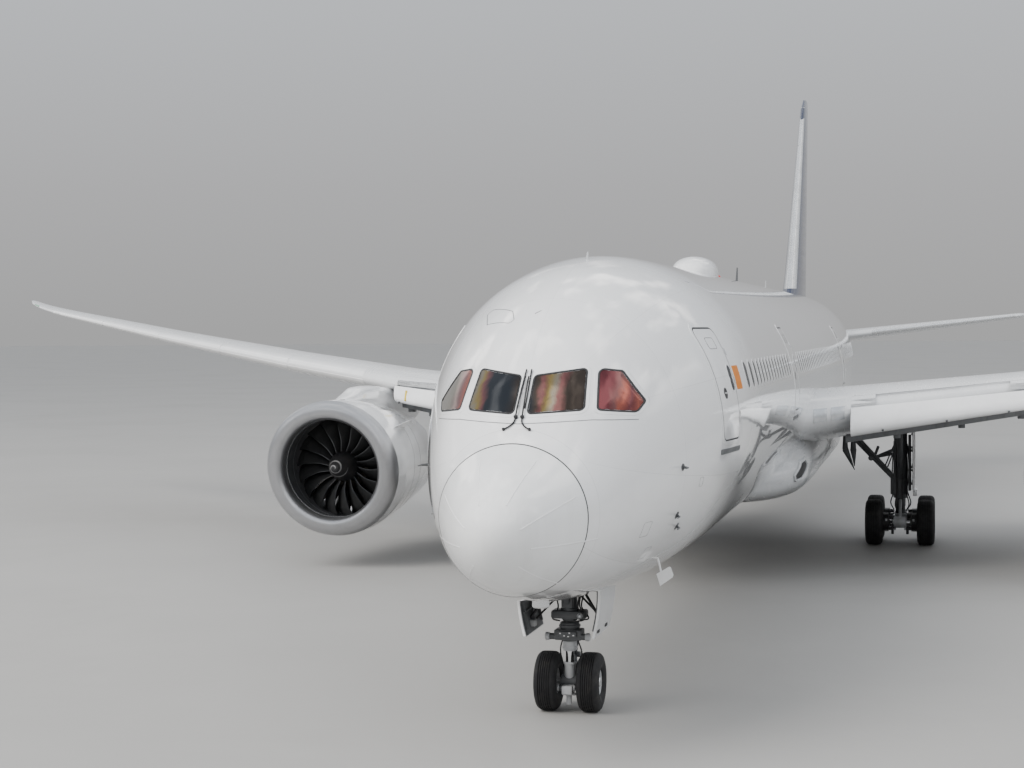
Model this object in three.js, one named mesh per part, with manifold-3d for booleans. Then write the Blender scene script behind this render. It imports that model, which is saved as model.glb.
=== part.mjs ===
// Twin-engine wide body airliner, a half-size model standing on its landing gear.
// Every length below is a full-size metre: x to port, station aft of the nose tip, z above the ground.
import * as THREE from 'three';
import { mergeVertices } from 'three/addons/utils/BufferGeometryUtils.js';
import Module from 'manifold-3d';

const wasm = await Module();
wasm.setup();

// Driving dimensions
const SCALE = 1 / 2;
const LENGTH = 62.81;
const HALF_SPAN = 30.06;
const HEIGHT = 17.02;
const NOSE_TIP_Z = 3.65;
const CABIN_TOP_Z = 7.95;
const CABIN_BOTTOM_Z = 1.98;
const CABIN_HALF_WIDTH = 2.885;
const CABIN_WAIST_Z = 4.95;
const TAIL_END = 62.0;
const RADOME_SEAM = 1.42;

// Clearances: a hairline between fixed neighbours, and room for what moves
const GAP = 0.0009;
const SEAM = 0.012;
const RUNNING = 0.024;
const PIN_PLAY = 0.006;

const MILLIMETRES = 1000 * SCALE;
const WELD = 0.002;

// A point of the model from full-size metres
function place(x, station, z) {
  return new THREE.Vector3(x * MILLIMETRES, (station - LENGTH / 2) * MILLIMETRES, z * MILLIMETRES);
}

function mix(a, b, t) {
  return a + (b - a) * t;
}

// Six times the enclosed volume, negative when the faces point in
function signedVolume(positions, index) {
  const corner = [new THREE.Vector3(), new THREE.Vector3(), new THREE.Vector3()];
  let sum = 0;
  for (let i = 0; i < index.length; i += 3) {
    corner.forEach((point, k) => point.fromArray(positions, 3 * index[i + k]));
    sum += corner[0].dot(corner[1].cross(corner[2]));
  }
  return sum;
}

// One index for each place, no empty triangles, and the faces pointing out
function closed(geometry) {
  const bare = new THREE.BufferGeometry();
  bare.setAttribute('position', geometry.attributes.position);
  bare.setIndex(geometry.index);
  const merged = mergeVertices(bare, WELD);
  const kept = [];
  const index = merged.index.array;
  for (let i = 0; i < index.length; i += 3) {
    const [a, b, c] = index.slice(i, i + 3);
    if (a !== b && b !== c && c !== a) kept.push(a, b, c);
  }
  if (signedVolume(merged.attributes.position.array, kept) < 0) kept.reverse();
  merged.setIndex(kept);
  return merged;
}

function solid(geometry) {
  const mesh = closed(geometry);
  return new wasm.Manifold(new wasm.Mesh({
    numProp: 3,
    vertProperties: new Float32Array(mesh.attributes.position.array),
    triVerts: new Uint32Array(mesh.index.array),
  }));
}

function geometryOf(shape) {
  const mesh = shape.getMesh();
  const geometry = new THREE.BufferGeometry();
  geometry.setAttribute('position', new THREE.BufferAttribute(mesh.vertProperties, mesh.numProp));
  geometry.setIndex([...mesh.triVerts]);
  geometry.computeVertexNormals();
  return geometry;
}

function moved(shape, matrix) {
  const geometry = geometryOf(shape);
  geometry.deleteAttribute('normal');
  return solid(geometry.applyMatrix4(matrix));
}

// The same solid on the other side of the plane of symmetry
function mirrored(shape) {
  return moved(shape, new THREE.Matrix4().makeScale(-1, 1, 1));
}

function joined(...shapes) {
  return shapes.reduce((sum, shape) => sum.add(shape));
}

// A closed skin through rings of equally many points, each end closed by a strip of quads
function loft(rings) {
  const count = rings[0].length;
  const index = [];
  for (let ring = 0; ring + 1 < rings.length; ring++) {
    for (let i = 0; i < count; i++) {
      const a = ring * count + i;
      const b = ring * count + (i + 1) % count;
      index.push(a, b, b + count, a, b + count, a + count);
    }
  }
  const last = (rings.length - 1) * count;
  for (let i = 0; i + 1 < count / 2; i++) {
    const j = count - 1 - i;
    index.push(i + 1, i, j - 1, i, j, j - 1);
    index.push(last + i, last + i + 1, last + j - 1, last + i, last + j - 1, last + j);
  }
  const geometry = new THREE.BufferGeometry();
  const positions = rings.flat().flatMap((point) => point.toArray());
  geometry.setAttribute('position', new THREE.Float32BufferAttribute(positions, 3));
  geometry.setIndex(index);
  return solid(geometry);
}

// The surface that a profile of [radius, station] rows makes about a fore and aft line
function spun(profile, x, z, segments) {
  const points = profile.map(([radius, station]) => (
    new THREE.Vector2(radius * MILLIMETRES, (station - LENGTH / 2) * MILLIMETRES)));
  const geometry = new THREE.LatheGeometry(points, segments);
  geometry.translate(x * MILLIMETRES, 0, z * MILLIMETRES);
  return geometry;
}

function turned(profile, x, z, segments) {
  return solid(spun(profile, x, z, segments));
}

// A wheel-like body of revolution about a crossways line: profile rows are [radius, offset to port]
function turnedAcross(profile, x, station, z, segments) {
  const points = profile.map(([radius, across]) => (
    new THREE.Vector2(radius * MILLIMETRES, across * MILLIMETRES)));
  const geometry = new THREE.LatheGeometry(points, segments, Math.PI / segments);
  geometry.rotateZ(-Math.PI / 2);
  const centre = place(x, station, z);
  geometry.translate(centre.x, centre.y, centre.z);
  return solid(geometry);
}

// A round bar from one point to another, which may taper
function rod(from, to, radius, segments = 12, endRadius = radius) {
  const length = from.distanceTo(to);
  const geometry = new THREE.CylinderGeometry(
    endRadius * MILLIMETRES, radius * MILLIMETRES, length, segments);
  const along = new THREE.Vector3().subVectors(to, from).normalize();
  geometry.applyQuaternion(new THREE.Quaternion().setFromUnitVectors(new THREE.Vector3(0, 1, 0), along));
  const middle = new THREE.Vector3().addVectors(from, to).multiplyScalar(0.5);
  geometry.translate(middle.x, middle.y, middle.z);
  return solid(geometry);
}

// A block between two corners
function block(low, high) {
  const size = new THREE.Vector3().subVectors(high, low);
  const middle = new THREE.Vector3().addVectors(low, high).multiplyScalar(0.5);
  const geometry = new THREE.BoxGeometry(size.x, size.y, size.z);
  geometry.translate(middle.x, middle.y, middle.z);
  return solid(geometry);
}

// A plan outline of [x, station] corners, pulled up through the whole height of the aircraft
function planPrism(outline) {
  const corners = outline.map(([x, station]) => (
    new THREE.Vector2(x * MILLIMETRES, (station - LENGTH / 2) * MILLIMETRES)));
  return solid(new THREE.ExtrudeGeometry(
    new THREE.Shape(corners), { depth: HEIGHT * MILLIMETRES, bevelEnabled: false }));
}

// Hermite interpolation with limited slopes, so a table's curve never overshoots its rows.
// It runs over the square root of the station, which rounds the nose.
function smooth(table, column, station) {
  const at = table.map((row) => Math.sqrt(row.station));
  const value = table.map((row) => row[column]);
  const rise = at.slice(1).map((u, i) => (value[i + 1] - value[i]) / (u - at[i]));
  const slope = at.map((_, i) => {
    if (i === 0) return rise[0];
    if (i === rise.length) return rise[i - 1];
    return rise[i - 1] * rise[i] <= 0 ? 0 : 2 * rise[i - 1] * rise[i] / (rise[i - 1] + rise[i]);
  });
  const u = Math.sqrt(station);
  const i = Math.max(0, at.findLastIndex((edge, row) => edge <= u && row < rise.length));
  const span = at[i + 1] - at[i];
  const t = (u - at[i]) / span;
  return (2 * t ** 3 - 3 * t ** 2 + 1) * value[i] + (t ** 3 - 2 * t ** 2 + t) * span * slope[i]
    + (3 * t ** 2 - 2 * t ** 3) * value[i + 1] + (t ** 3 - t ** 2) * span * slope[i + 1];
}

function rows(columns, ...values) {
  return values.map((row) => Object.fromEntries(columns.map((name, i) => [name, row[i]])));
}

// Fuselage: heights of the top and bottom lines, half width, and height of the widest place
const FUSELAGE = rows(['station', 'top', 'bottom', 'halfWidth', 'waist'],
  [0.00, NOSE_TIP_Z, NOSE_TIP_Z, 0.00, NOSE_TIP_Z],
  [0.30, 4.20, 3.10, 0.53, 3.66],
  [0.75, 4.50, 2.80, 0.83, 3.70],
  [1.50, 4.90, 2.54, 1.18, 3.78],
  [2.00, 5.33, 2.42, 1.39, 3.88],
  [2.60, 5.92, 2.32, 1.62, 4.02],
  [3.50, 6.60, 2.19, 1.92, 4.24],
  [5.00, 7.30, 2.08, 2.34, 4.55],
  [6.50, 7.70, 2.02, 2.67, 4.78],
  [8.50, 7.92, 1.99, 2.85, 4.92],
  [10.0, CABIN_TOP_Z, CABIN_BOTTOM_Z, CABIN_HALF_WIDTH, CABIN_WAIST_Z],
  [42.0, CABIN_TOP_Z, CABIN_BOTTOM_Z, CABIN_HALF_WIDTH, CABIN_WAIST_Z],
  [46.0, CABIN_TOP_Z, 2.28, 2.83, 5.03],
  [50.0, 7.92, 3.06, 2.60, 5.35],
  [54.0, 7.76, 4.08, 2.04, 5.82],
  [57.0, 7.48, 4.88, 1.52, 6.12],
  [59.5, 7.13, 5.46, 1.00, 6.27],
  [61.0, 6.86, 5.78, 0.64, 6.32],
  [TAIL_END, 6.60, 6.02, 0.30, 6.32],
);
const FUSELAGE_SIDES = 32;

// One cross section of the fuselage, an ellipse above and another below its widest place
function fuselageRing(station, grow = 0) {
  const top = smooth(FUSELAGE, 'top', station) + grow;
  const bottom = smooth(FUSELAGE, 'bottom', station) - grow;
  const halfWidth = smooth(FUSELAGE, 'halfWidth', station) + grow;
  const waist = smooth(FUSELAGE, 'waist', station);
  return Array.from({ length: FUSELAGE_SIDES }, (_, i) => {
    const angle = 2 * Math.PI * (i + 0.5) / FUSELAGE_SIDES;
    const rise = Math.cos(angle);
    const reach = rise > 0 ? top - waist : waist - bottom;
    return place(halfWidth * Math.sin(angle), station, waist + reach * rise);
  });
}

// The stations at which cross sections are set, closer together where the lines bend
const RING_STATIONS = [
  0, 0.04, 0.15, 0.35, 0.7, 1.05, RADOME_SEAM, 1.7, 2.0, 2.3, 2.6, 3.0, 3.5, 4.2, 5.0, 6.0, 7.2, 8.5, 10.0, 12.6,
  21.5, 35.5, 42.0, 44.0, 46.0, 48.0, 50.0, 52.0, 54.0, 55.5, 57.0, 58.3, 59.5, 60.3, 61.0, 61.6, TAIL_END,
];

function fuselagePart(from, to, grow = 0) {
  const inside = RING_STATIONS.filter((station) => station > from + GAP && station < to - GAP);
  return loft([from, ...inside, to].map((station) => fuselageRing(station, grow)));
}

// Where the body's barrels meet
const BARRELS = rows(['name', 'from', 'to'],
  ['radome', 0.0, RADOME_SEAM],
  ['fuselage_nose', RADOME_SEAM, 12.6],
  ['fuselage_forward', 12.6, 21.5],
  ['fuselage_centre', 21.5, 35.5],
  ['fuselage_aft', 35.5, 46.0],
  ['fuselage_tail', 46.0, 59.5],
  ['tail_cone', 59.5, TAIL_END],
);

// Wing-to-body fairing under the cabin. Its sections go from boxy cheeks (bend under 1) to ellipses.
const BELLY = rows(['station', 'top', 'bottom', 'halfWidth', 'bend'],
  [19.2, 3.00, 2.26, 1.60, 0.72],
  [20.2, 3.30, 2.18, 2.42, 0.72],
  [21.6, 3.70, 2.05, 2.85, 0.74],
  [24.0, 4.20, 1.90, 3.00, 0.85],
  [27.0, 4.70, 1.74, 3.10, 1.00],
  [33.5, 4.66, 1.74, 3.05, 1.00],
  [36.5, 4.40, 1.84, 2.80, 1.00],
  [39.4, 3.50, 2.14, 2.00, 1.00],
);
const BELLY_SIDES = 20;

function bellyFairing(grow = 0) {
  return loft(BELLY.map(({ station, top, bottom, halfWidth, bend }) => (
    Array.from({ length: BELLY_SIDES }, (_, i) => {
      const angle = 2 * Math.PI * (i + 0.5) / BELLY_SIDES;
      const bent = (value) => Math.sign(value) * Math.abs(value) ** bend;
      const x = (halfWidth + grow) * bent(Math.sin(angle));
      const z = (top + bottom) / 2 + ((top - bottom) / 2 + grow) * bent(Math.cos(angle));
      return place(x, station, z);
    })
  )));
}

// Aerofoil: chord fractions from leading to trailing edge, and half thickness over chord
const CHORD_STEPS = [0, 0.012, 0.05, 0.15, 0.33, 0.56, 0.78, 1];
const EDGE_HALF_THICKNESS = 0.008;

function halfThickness(fraction, thickness) {
  return 5 * thickness * (0.2969 * Math.sqrt(fraction) - 0.126 * fraction
    - 0.3516 * fraction ** 2 + 0.2843 * fraction ** 3 - 0.1015 * fraction ** 4);
}

// Wing stations: height of the chord at REFERENCE of its length, nose-up angle, thickness over chord
const REFERENCE = 0.3;
const WING_CAMBER = 0.012;
const WING = rows(['span', 'leading', 'trailing', 'height', 'incidence', 'thickness'],
  [1.70, 21.16, 33.60, 3.90, 3.0, 0.126],
  [9.90, 26.90, 34.20, 4.92, 1.5, 0.108],
  [14.6, 30.19, 36.15, 5.50, 1.2, 0.110],
  [20.5, 34.32, 38.60, 6.33, 0.8, 0.102],
  [27.0, 38.87, 41.30, 7.32, 0.0, 0.096],
  [28.4, 40.10, 41.92, 7.56, 0.0, 0.092],
  [29.4, 41.30, 42.40, 7.75, 0.0, 0.090],
  [HALF_SPAN, 42.42, 42.86, 7.89, 0.0, 0.100],
);

function between(table, column, value) {
  const i = Math.max(1, table.findIndex((row) => row[column] >= value));
  const [low, high] = [table[i - 1], table[i]];
  const t = (value - low[column]) / (high[column] - low[column]);
  return Object.fromEntries(Object.keys(low).map((name) => [name, mix(low[name], high[name], t)]));
}

// Chord line and half thickness of the wing at a chord fraction
function wingPoint(row, fraction) {
  const chord = row.trailing - row.leading;
  const slope = Math.tan(THREE.MathUtils.degToRad(row.incidence));
  return {
    station: row.leading + fraction * chord,
    z: row.height + (REFERENCE - fraction) * chord * slope
      + 4 * WING_CAMBER * chord * fraction * (1 - fraction),
    half: Math.max(EDGE_HALF_THICKNESS, halfThickness(fraction, row.thickness) * chord),
  };
}

function wingRing(row, grow) {
  const points = CHORD_STEPS.map((fraction) => wingPoint(row, fraction));
  const upper = points.map(({ station, z, half }) => place(row.span, station, z + half + grow));
  const lower = points.map(({ station, z, half }) => place(row.span, station, z - half - grow));
  return [...upper, ...lower.reverse()];
}

function wingLoft(grow = 0) {
  return loft(WING.map((row) => wingRing(row, grow)));
}

// A control surface turns about the line between two points. Its nose is a tapered cylinder on that
// line, which the fixed part behind the spar clears all round.
const NOSE_FIT = 0.94;
const NOSE_SIDES = 20;
const END_GAP = 0.03;

function hingeBox(a, b, reach, height, extend) {
  const along = new THREE.Vector3().subVectors(b, a);
  const length = along.length();
  along.normalize();
  const aft = new THREE.Vector3(0, 1, 0).addScaledVector(along, -along.y).normalize();
  const normal = new THREE.Vector3().crossVectors(along, aft);
  const over = extend * MILLIMETRES;
  const geometry = new THREE.BoxGeometry(length + 2 * over, reach * MILLIMETRES, height * MILLIMETRES);
  geometry.translate(length / 2, reach * MILLIMETRES / 2, 0);
  geometry.applyMatrix4(new THREE.Matrix4().makeBasis(along, aft, normal));
  geometry.translate(a.x, a.y, a.z);
  return solid(geometry);
}

function splitSurface(whole, hinge) {
  const { a, b, radiusA, radiusB, reach } = hinge;
  const height = 2.4;
  const moving = whole.intersect(hingeBox(a, b, reach, height, 0))
    .add(rod(a, b, radiusA * NOSE_FIT, NOSE_SIDES, radiusB * NOSE_FIT));
  const along = new THREE.Vector3().subVectors(b, a).normalize().multiplyScalar(END_GAP * MILLIMETRES);
  const slot = rod(a.clone().sub(along), b.clone().add(along),
    radiusA + RUNNING, NOSE_SIDES, radiusB + RUNNING);
  const fixed = whole.subtract(hingeBox(a, b, reach, height, END_GAP)).subtract(slot);
  return { fixed, moving };
}

// Aileron hinge line
const AILERON = { from: 21.4, to: 26.2, fraction: 0.74, reach: 3.0 };
// Flap edges in plan: the front edge as a chord fraction at each end
const FLAPS = rows(['name', 'from', 'to', 'fraction'],
  ['inboard_flap', 3.75, 9.4, 0.80],
  ['outboard_flap', 11.6, 20.8, 0.76],
);
// Inboard slat: its rear edge above and below as chord fractions, the thickness of its nose, how far
// the wing's lip below it lies under the chord, how far it stands forward, sinks and turns down, and
// the spans of the track arms that carry it
const SLAT = { from: 3.9, to: 9.6, fraction: 0.06, under: 0.03, skin: 0.2, lip: 0.05, forward: 0.70,
  drop: 0.28, turn: 32, arms: [4.6, 6.2, 7.8, 9.2], armRadius: 0.06 };
// Flap track fairings under the trailing edge
const TRACK_FAIRINGS = rows(['span', 'length', 'radius'],
  [7.0, 3.6, 0.24],
  [13.3, 3.5, 0.24],
  [18.4, 3.1, 0.21],
);
const TRACK_OVERHANG = 0.55;
const TRACK_SLICES = [0, 0.08, 0.3, 0.6, 0.88, 1];
const TRACK_SIDES = 8;

// A canoe-shaped fairing below the wing, deepest before its middle
function trackFairing({ span, length, radius }, grow = 0) {
  const row = between(WING, 'span', span);
  const last = row.trailing + TRACK_OVERHANG;
  const under = wingPoint(row, 0.8);
  const rings = TRACK_SLICES.map((t) => {
    const swell = Math.sin(Math.PI * t ** 0.8) ** 0.6 * radius + grow;
    const sink = 0.55 * radius * Math.sin(Math.PI * t ** 0.8);
    return Array.from({ length: TRACK_SIDES }, (_, i) => {
      const angle = 2 * Math.PI * (i + 0.5) / TRACK_SIDES;
      return place(span + swell * Math.sin(angle) * 0.8, last - length * (1 - t),
        under.z - under.half - sink + swell * Math.cos(angle));
    });
  });
  return loft(rings);
}

function chordStrip(from, to, fractionLow, fractionHigh, margin) {
  const corner = (span, fraction, push) => {
    const row = between(WING, 'span', span);
    return [span, mix(row.leading, row.trailing, fraction) + push];
  };
  return planPrism([
    corner(from - margin, fractionLow, -margin), corner(to + margin, fractionLow, -margin),
    corner(to + margin, fractionHigh, margin), corner(from - margin, fractionHigh, margin),
  ]);
}

// Jacking pads, round discs with a flat face below
const JACK_PAD = { radius: 0.14, drop: 0.05 };
const WING_JACK = { span: 7.9, fraction: 0.45 };

function jackPad(x, station, faceZ, height) {
  return rod(place(x, station, faceZ), place(x, station, faceZ + height), JACK_PAD.radius, 16);
}

function wingJackFaceZ() {
  const point = wingPoint(between(WING, 'span', WING_JACK.span), WING_JACK.fraction);
  return { station: point.station, z: point.z - point.half - JACK_PAD.drop };
}

// Engine nacelle, measured from its centre line
const ENGINE = { x: 10.09, z: 2.78 };
const NACELLE_SEGMENTS = 28;
const SPINNER_SEGMENTS = 18;
const CORE_SEGMENTS = 18;
const LIP_JOINT = 22.28;
const LIP_RADIUS = 1.88;
const THROAT_RADIUS = 1.36;
const COWL = [[LIP_RADIUS, LIP_JOINT], [1.89, 22.9], [1.845, 23.6], [1.76, 24.5], [1.65, 25.5],
  [1.52, 26.5], [1.42, 27.35]];
const DUCT = [[1.37, 27.35], [1.44, 26.5], [1.50, 25.4], [1.50, 24.6], [1.43, 23.7], [1.43, 22.95],
  [THROAT_RADIUS, LIP_JOINT]];
const LIP = [[LIP_RADIUS, LIP_JOINT], [1.84, 22.05], [1.76, 21.90], [1.65, 21.82], [1.53, 21.80],
  [1.42, 21.87], [THROAT_RADIUS, 22.03], [THROAT_RADIUS, LIP_JOINT]];
// The intake's face leans, its top ahead of its bottom, and the lean fades out aft
const LEAN = { slope: 0.139, from: LIP_JOINT, to: 24.0 };
const FAN_FACE = 23.1;
const FAN_TIP_RADIUS = 1.40;
const FAN_BLADES = 18;
const SPINNER = [[0, 22.28], [0.09, 22.33], [0.22, 22.56], [0.33, 22.83], [0.41, 23.08], [0.45, 23.30],
  [0.45, 23.58], [0, 23.58]];
// One fan blade from hub to tip: chord, angle from the shaft, half thickness, and sweep aft
const BLADE = rows(['radius', 'chord', 'angle', 'half', 'sweep'],
  [0.40, 0.40, 18, 0.030, 0.00],
  [0.80, 0.46, 38, 0.022, -0.04],
  [1.15, 0.50, 52, 0.016, -0.02],
  [FAN_TIP_RADIUS, 0.50, 61, 0.012, 0.06],
);
const CORE = [[0, 23.66], [0.60, 23.66], [0.80, 24.3], [0.94, 25.5], [0.92, 26.7], [0.74, 27.8],
  [0.57, 28.6], [0.53, 28.6], [0.50, 28.1], [0.34, 28.1], [0.30, 28.6], [0.05, 29.2], [0, 29.2]];
const BIFURCATION = { from: 24.7, to: 27.0, halfWidth: 0.09 };
// Pylon cross sections: bottom, top and half width
const PYLON = rows(['station', 'bottom', 'top', 'halfWidth'],
  [22.5, 4.55, 4.72, 0.08],
  [22.9, 4.50, 4.80, 0.20],
  [23.6, 4.45, 4.84, 0.26],
  [24.2, 4.42, 4.96, 0.28],
  [25.0, 4.38, 4.97, 0.30],
  [26.4, 4.20, 4.90, 0.30],
  [27.5, 3.66, 4.80, 0.30],
  [28.8, 3.62, 4.75, 0.28],
  [30.6, 4.00, 4.90, 0.20],
  [32.4, 4.36, 4.80, 0.06],
);
// A chine on the nacelle's inboard side: its outer edge as [radius, station]
const CHINE = { angle: 54, foot: 1.70, edge: [[1.90, 23.05], [2.09, 23.85], [2.09, 24.2]], half: 0.018 };

function pylonLoft() {
  return loft(PYLON.map(({ station, bottom, top, halfWidth }) => {
    const shoulder = Math.min(0.18, (top - bottom) / 3);
    const right = [[0.45, top], [1, top - shoulder], [1, bottom + 0.1], [0.8, bottom]];
    const left = [...right].reverse().map(([across, z]) => [-across, z]);
    return [...right, ...left].map(([across, z]) => place(ENGINE.x + across * halfWidth, station, z));
  }));
}

function fanBlade(turn) {
  const rings = BLADE.map(({ radius, chord, angle, half, sweep }) => {
    const tilt = THREE.MathUtils.degToRad(angle);
    return [[-chord / 2, 0], [0, half], [chord / 2, 0], [0, -half]].map(([along, across]) => {
      const axial = along * Math.cos(tilt) - across * Math.sin(tilt) + sweep;
      const sideways = along * Math.sin(tilt) + across * Math.cos(tilt);
      const flat = Math.sqrt(radius ** 2 - sideways ** 2);
      const [x, z] = [
        sideways * Math.cos(turn) - flat * Math.sin(turn), sideways * Math.sin(turn) + flat * Math.cos(turn),
      ];
      return place(ENGINE.x + x, FAN_FACE + BLADE[0].chord / 2 + axial, ENGINE.z + z);
    });
  });
  return loft(rings);
}

function fan() {
  const turns = Array.from({ length: FAN_BLADES }, (_, i) => 2 * Math.PI * i / FAN_BLADES);
  return joined(turned(SPINNER, ENGINE.x, ENGINE.z, SPINNER_SEGMENTS), ...turns.map(fanBlade));
}

// A body about the engine's axis that takes the lean of the intake's face
function leaning(profile) {
  const surface = spun(profile, ENGINE.x, ENGINE.z, NACELLE_SEGMENTS);
  const { position } = surface.attributes;
  for (let i = 0; i < position.count; i++) {
    const station = position.getY(i) / MILLIMETRES + LENGTH / 2;
    const share = THREE.MathUtils.clamp((LEAN.to - station) / (LEAN.to - LEAN.from), 0, 1);
    const above = position.getZ(i) - ENGINE.z * MILLIMETRES;
    position.setY(i, position.getY(i) - LEAN.slope * share * above);
  }
  return solid(surface);
}

function outward(profile, by) {
  return profile.map(([radius, station]) => [radius === 0 ? 0 : radius + by, station]);
}

// The nacelle's outer form without its duct, for cutting what lies on it
function cowlPlug(grow) {
  const [front, back] = [COWL[0][1], COWL.at(-1)[1]];
  return leaning([[0, front - grow], ...outward(COWL, grow), [0, back + grow]]);
}

function ductPlug(grow) {
  const rising = [...DUCT].reverse();
  return leaning([[0, rising[0][1]], ...outward(rising, grow), [0, rising.at(-1)[1]]]);
}

function chine() {
  const turn = THREE.MathUtils.degToRad(CHINE.angle);
  return loft(CHINE.edge.map(([outer, station]) => {
    const corners = [[CHINE.foot, CHINE.half], [outer, 0.4 * CHINE.half]];
    const ring = [...corners, ...corners.map(([r, w]) => [r, -w]).reverse()];
    return ring.map(([radius, across]) => place(
      ENGINE.x - radius * Math.sin(turn) + across * Math.cos(turn), station,
      ENGINE.z + radius * Math.cos(turn) + across * Math.sin(turn)));
  }));
}

// Fin and tailplane, with the heights or spans at which their sections stand
const FIN = rows(['z', 'leading', 'trailing', 'thickness'],
  [6.60, 48.8, 58.6, 0.100],
  [8.60, 51.2, 59.1, 0.100],
  [16.5, 58.2, 61.2, 0.095],
  [HEIGHT, 59.1, 61.32, 0.070],
);
const RUDDER = { from: 8.85, to: 16.35, fraction: 0.69, reach: 4.0 };
const TAILPLANE = rows(['span', 'leading', 'trailing', 'z', 'thickness'],
  [0.70, 53.67, 59.43, 6.06, 0.100],
  [9.60, 60.2, 62.7, 7.05, 0.095],
  [9.90, 60.9, LENGTH, 7.09, 0.070],
);
const ELEVATOR = { from: 2.3, to: 9.2, fraction: 0.70, reach: 3.0 };

function symmetricRing(row, put, grow) {
  const chord = row.trailing - row.leading;
  const points = CHORD_STEPS.map((fraction) => [
    row.leading + fraction * chord,
    Math.max(EDGE_HALF_THICKNESS, halfThickness(fraction, row.thickness) * chord) + grow,
  ]);
  const near = points.map(([station, half]) => put(station, half));
  const far = points.map(([station, half]) => put(station, -half));
  return [...near, ...far.reverse()];
}

function finLoft(grow = 0) {
  return loft(FIN.map((row) => symmetricRing(row, (station, half) => place(half, station, row.z), grow)));
}

function tailplaneLoft(grow = 0) {
  return loft(TAILPLANE.map((row) => (
    symmetricRing(row, (station, half) => place(row.span, station, row.z + half), grow))));
}

function hingeAlong(table, column, { from, to, fraction, reach }, point) {
  const [start, end] = [from, to].map((value) => point(between(table, column, value), fraction));
  return { a: start.at, b: end.at, radiusA: start.half, radiusB: end.half, reach };
}

function wingHinge() {
  return hingeAlong(WING, 'span', AILERON, (row, fraction) => {
    const { station, z, half } = wingPoint(row, fraction);
    return { at: place(row.span, station, z), half };
  });
}

function tailHinge(table, column, surface, put) {
  return hingeAlong(table, column, surface, (row, fraction) => {
    const chord = row.trailing - row.leading;
    return {
      at: put(row, row.leading + fraction * chord),
      half: halfThickness(fraction, row.thickness) * chord,
    };
  });
}

// Landing gear. Wheels come in pairs on one axle; offsets are from the leg's centre.
const TYRE_SEGMENTS = 20;
const RIM_SEGMENTS = 12;
const NOSE_GEAR = { station: 5.55, tyreRadius: 0.508, tyreWidth: 0.40, rimRadius: 0.222, offset: 0.37,
  axleRadius: 0.055 };
const MAIN_GEAR = { x: 4.96, station: 31.38, axleSpread: 0.75, tyreRadius: 0.686, tyreWidth: 0.53,
  rimRadius: 0.308, offset: 0.76, axleRadius: 0.075 };
// A tyre's section: radius from bead (0) to tread (1), and half width over the tyre's half width
const TYRE_SECTION = [[0, 0.72], [0.32, 0.98], [0.80, 0.90], [1, 0.50]];
const NOSE_BAY = { halfWidth: 0.66, from: 4.55, to: 6.15, top: 3.0 };
const NOSE_DOOR = { from: 4.62, to: 6.02, hingeX: 0.70, footX: 0.60, footZ: 1.40, thickness: 0.04 };

function tyre(gear, x, station) {
  const { tyreRadius, tyreWidth, rimRadius } = gear;
  const flat = Math.cos(Math.PI / TYRE_SEGMENTS);
  const side = TYRE_SECTION.map(([t, wide]) => [
    mix(rimRadius + GAP, tyreRadius, t) / (t === 0 ? 1 : flat), wide * tyreWidth / 2]);
  side[0][0] = (rimRadius + GAP) / flat;
  const other = side.map(([radius, across]) => [radius, -across]).reverse();
  return turnedAcross([...side, ...other, side[0]], x, station, tyreRadius, TYRE_SEGMENTS);
}

// Two rims and the axle that joins them
function wheelPair(gear, x, station) {
  const { rimRadius, offset, tyreWidth, axleRadius, tyreRadius } = gear;
  const rimHalf = 0.36 * tyreWidth;
  const outer = [
    [axleRadius, offset - 0.55 * rimHalf], [0.72 * rimRadius, offset - 0.75 * rimHalf],
    [rimRadius, offset - rimHalf], [rimRadius, offset + rimHalf],
    [0.66 * rimRadius, offset + 0.3 * rimHalf], [0.30 * rimRadius, offset + 0.9 * rimHalf],
    [0, offset + 0.9 * rimHalf],
  ];
  const inner = outer.map(([radius, across]) => [radius, -across]).reverse();
  return turnedAcross([...inner, ...outer], x, station, tyreRadius, RIM_SEGMENTS);
}

// Nose leg: the fixed cylinder with its trunnion and drag brace
function noseLeg() {
  const s = NOSE_GEAR.station;
  const wall = NOSE_BAY.halfWidth - GAP;
  return joined(
    rod(place(0, s, 1.56), place(0, s, 2.85), 0.135, 16),
    rod(place(-wall, s, 2.66), place(wall, s, 2.66), 0.085),
    rod(place(0, s - 0.05, 1.72), place(0, NOSE_BAY.from + 0.25, 2.6), 0.06),
    rod(place(-wall, NOSE_BAY.from + 0.25, 2.6), place(wall, NOSE_BAY.from + 0.25, 2.6), 0.06),
    block(place(-0.30, s - 0.16, 1.60), place(0.30, s + 0.16, 1.74)),
  );
}

// Nose fork: the steered collar, torque links, piston, axle housing and towing lug
const TOW_FACE = { aheadOfAxle: 0.30, z: 0.40, halfWidth: 0.09, halfHeight: 0.07 };

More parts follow.
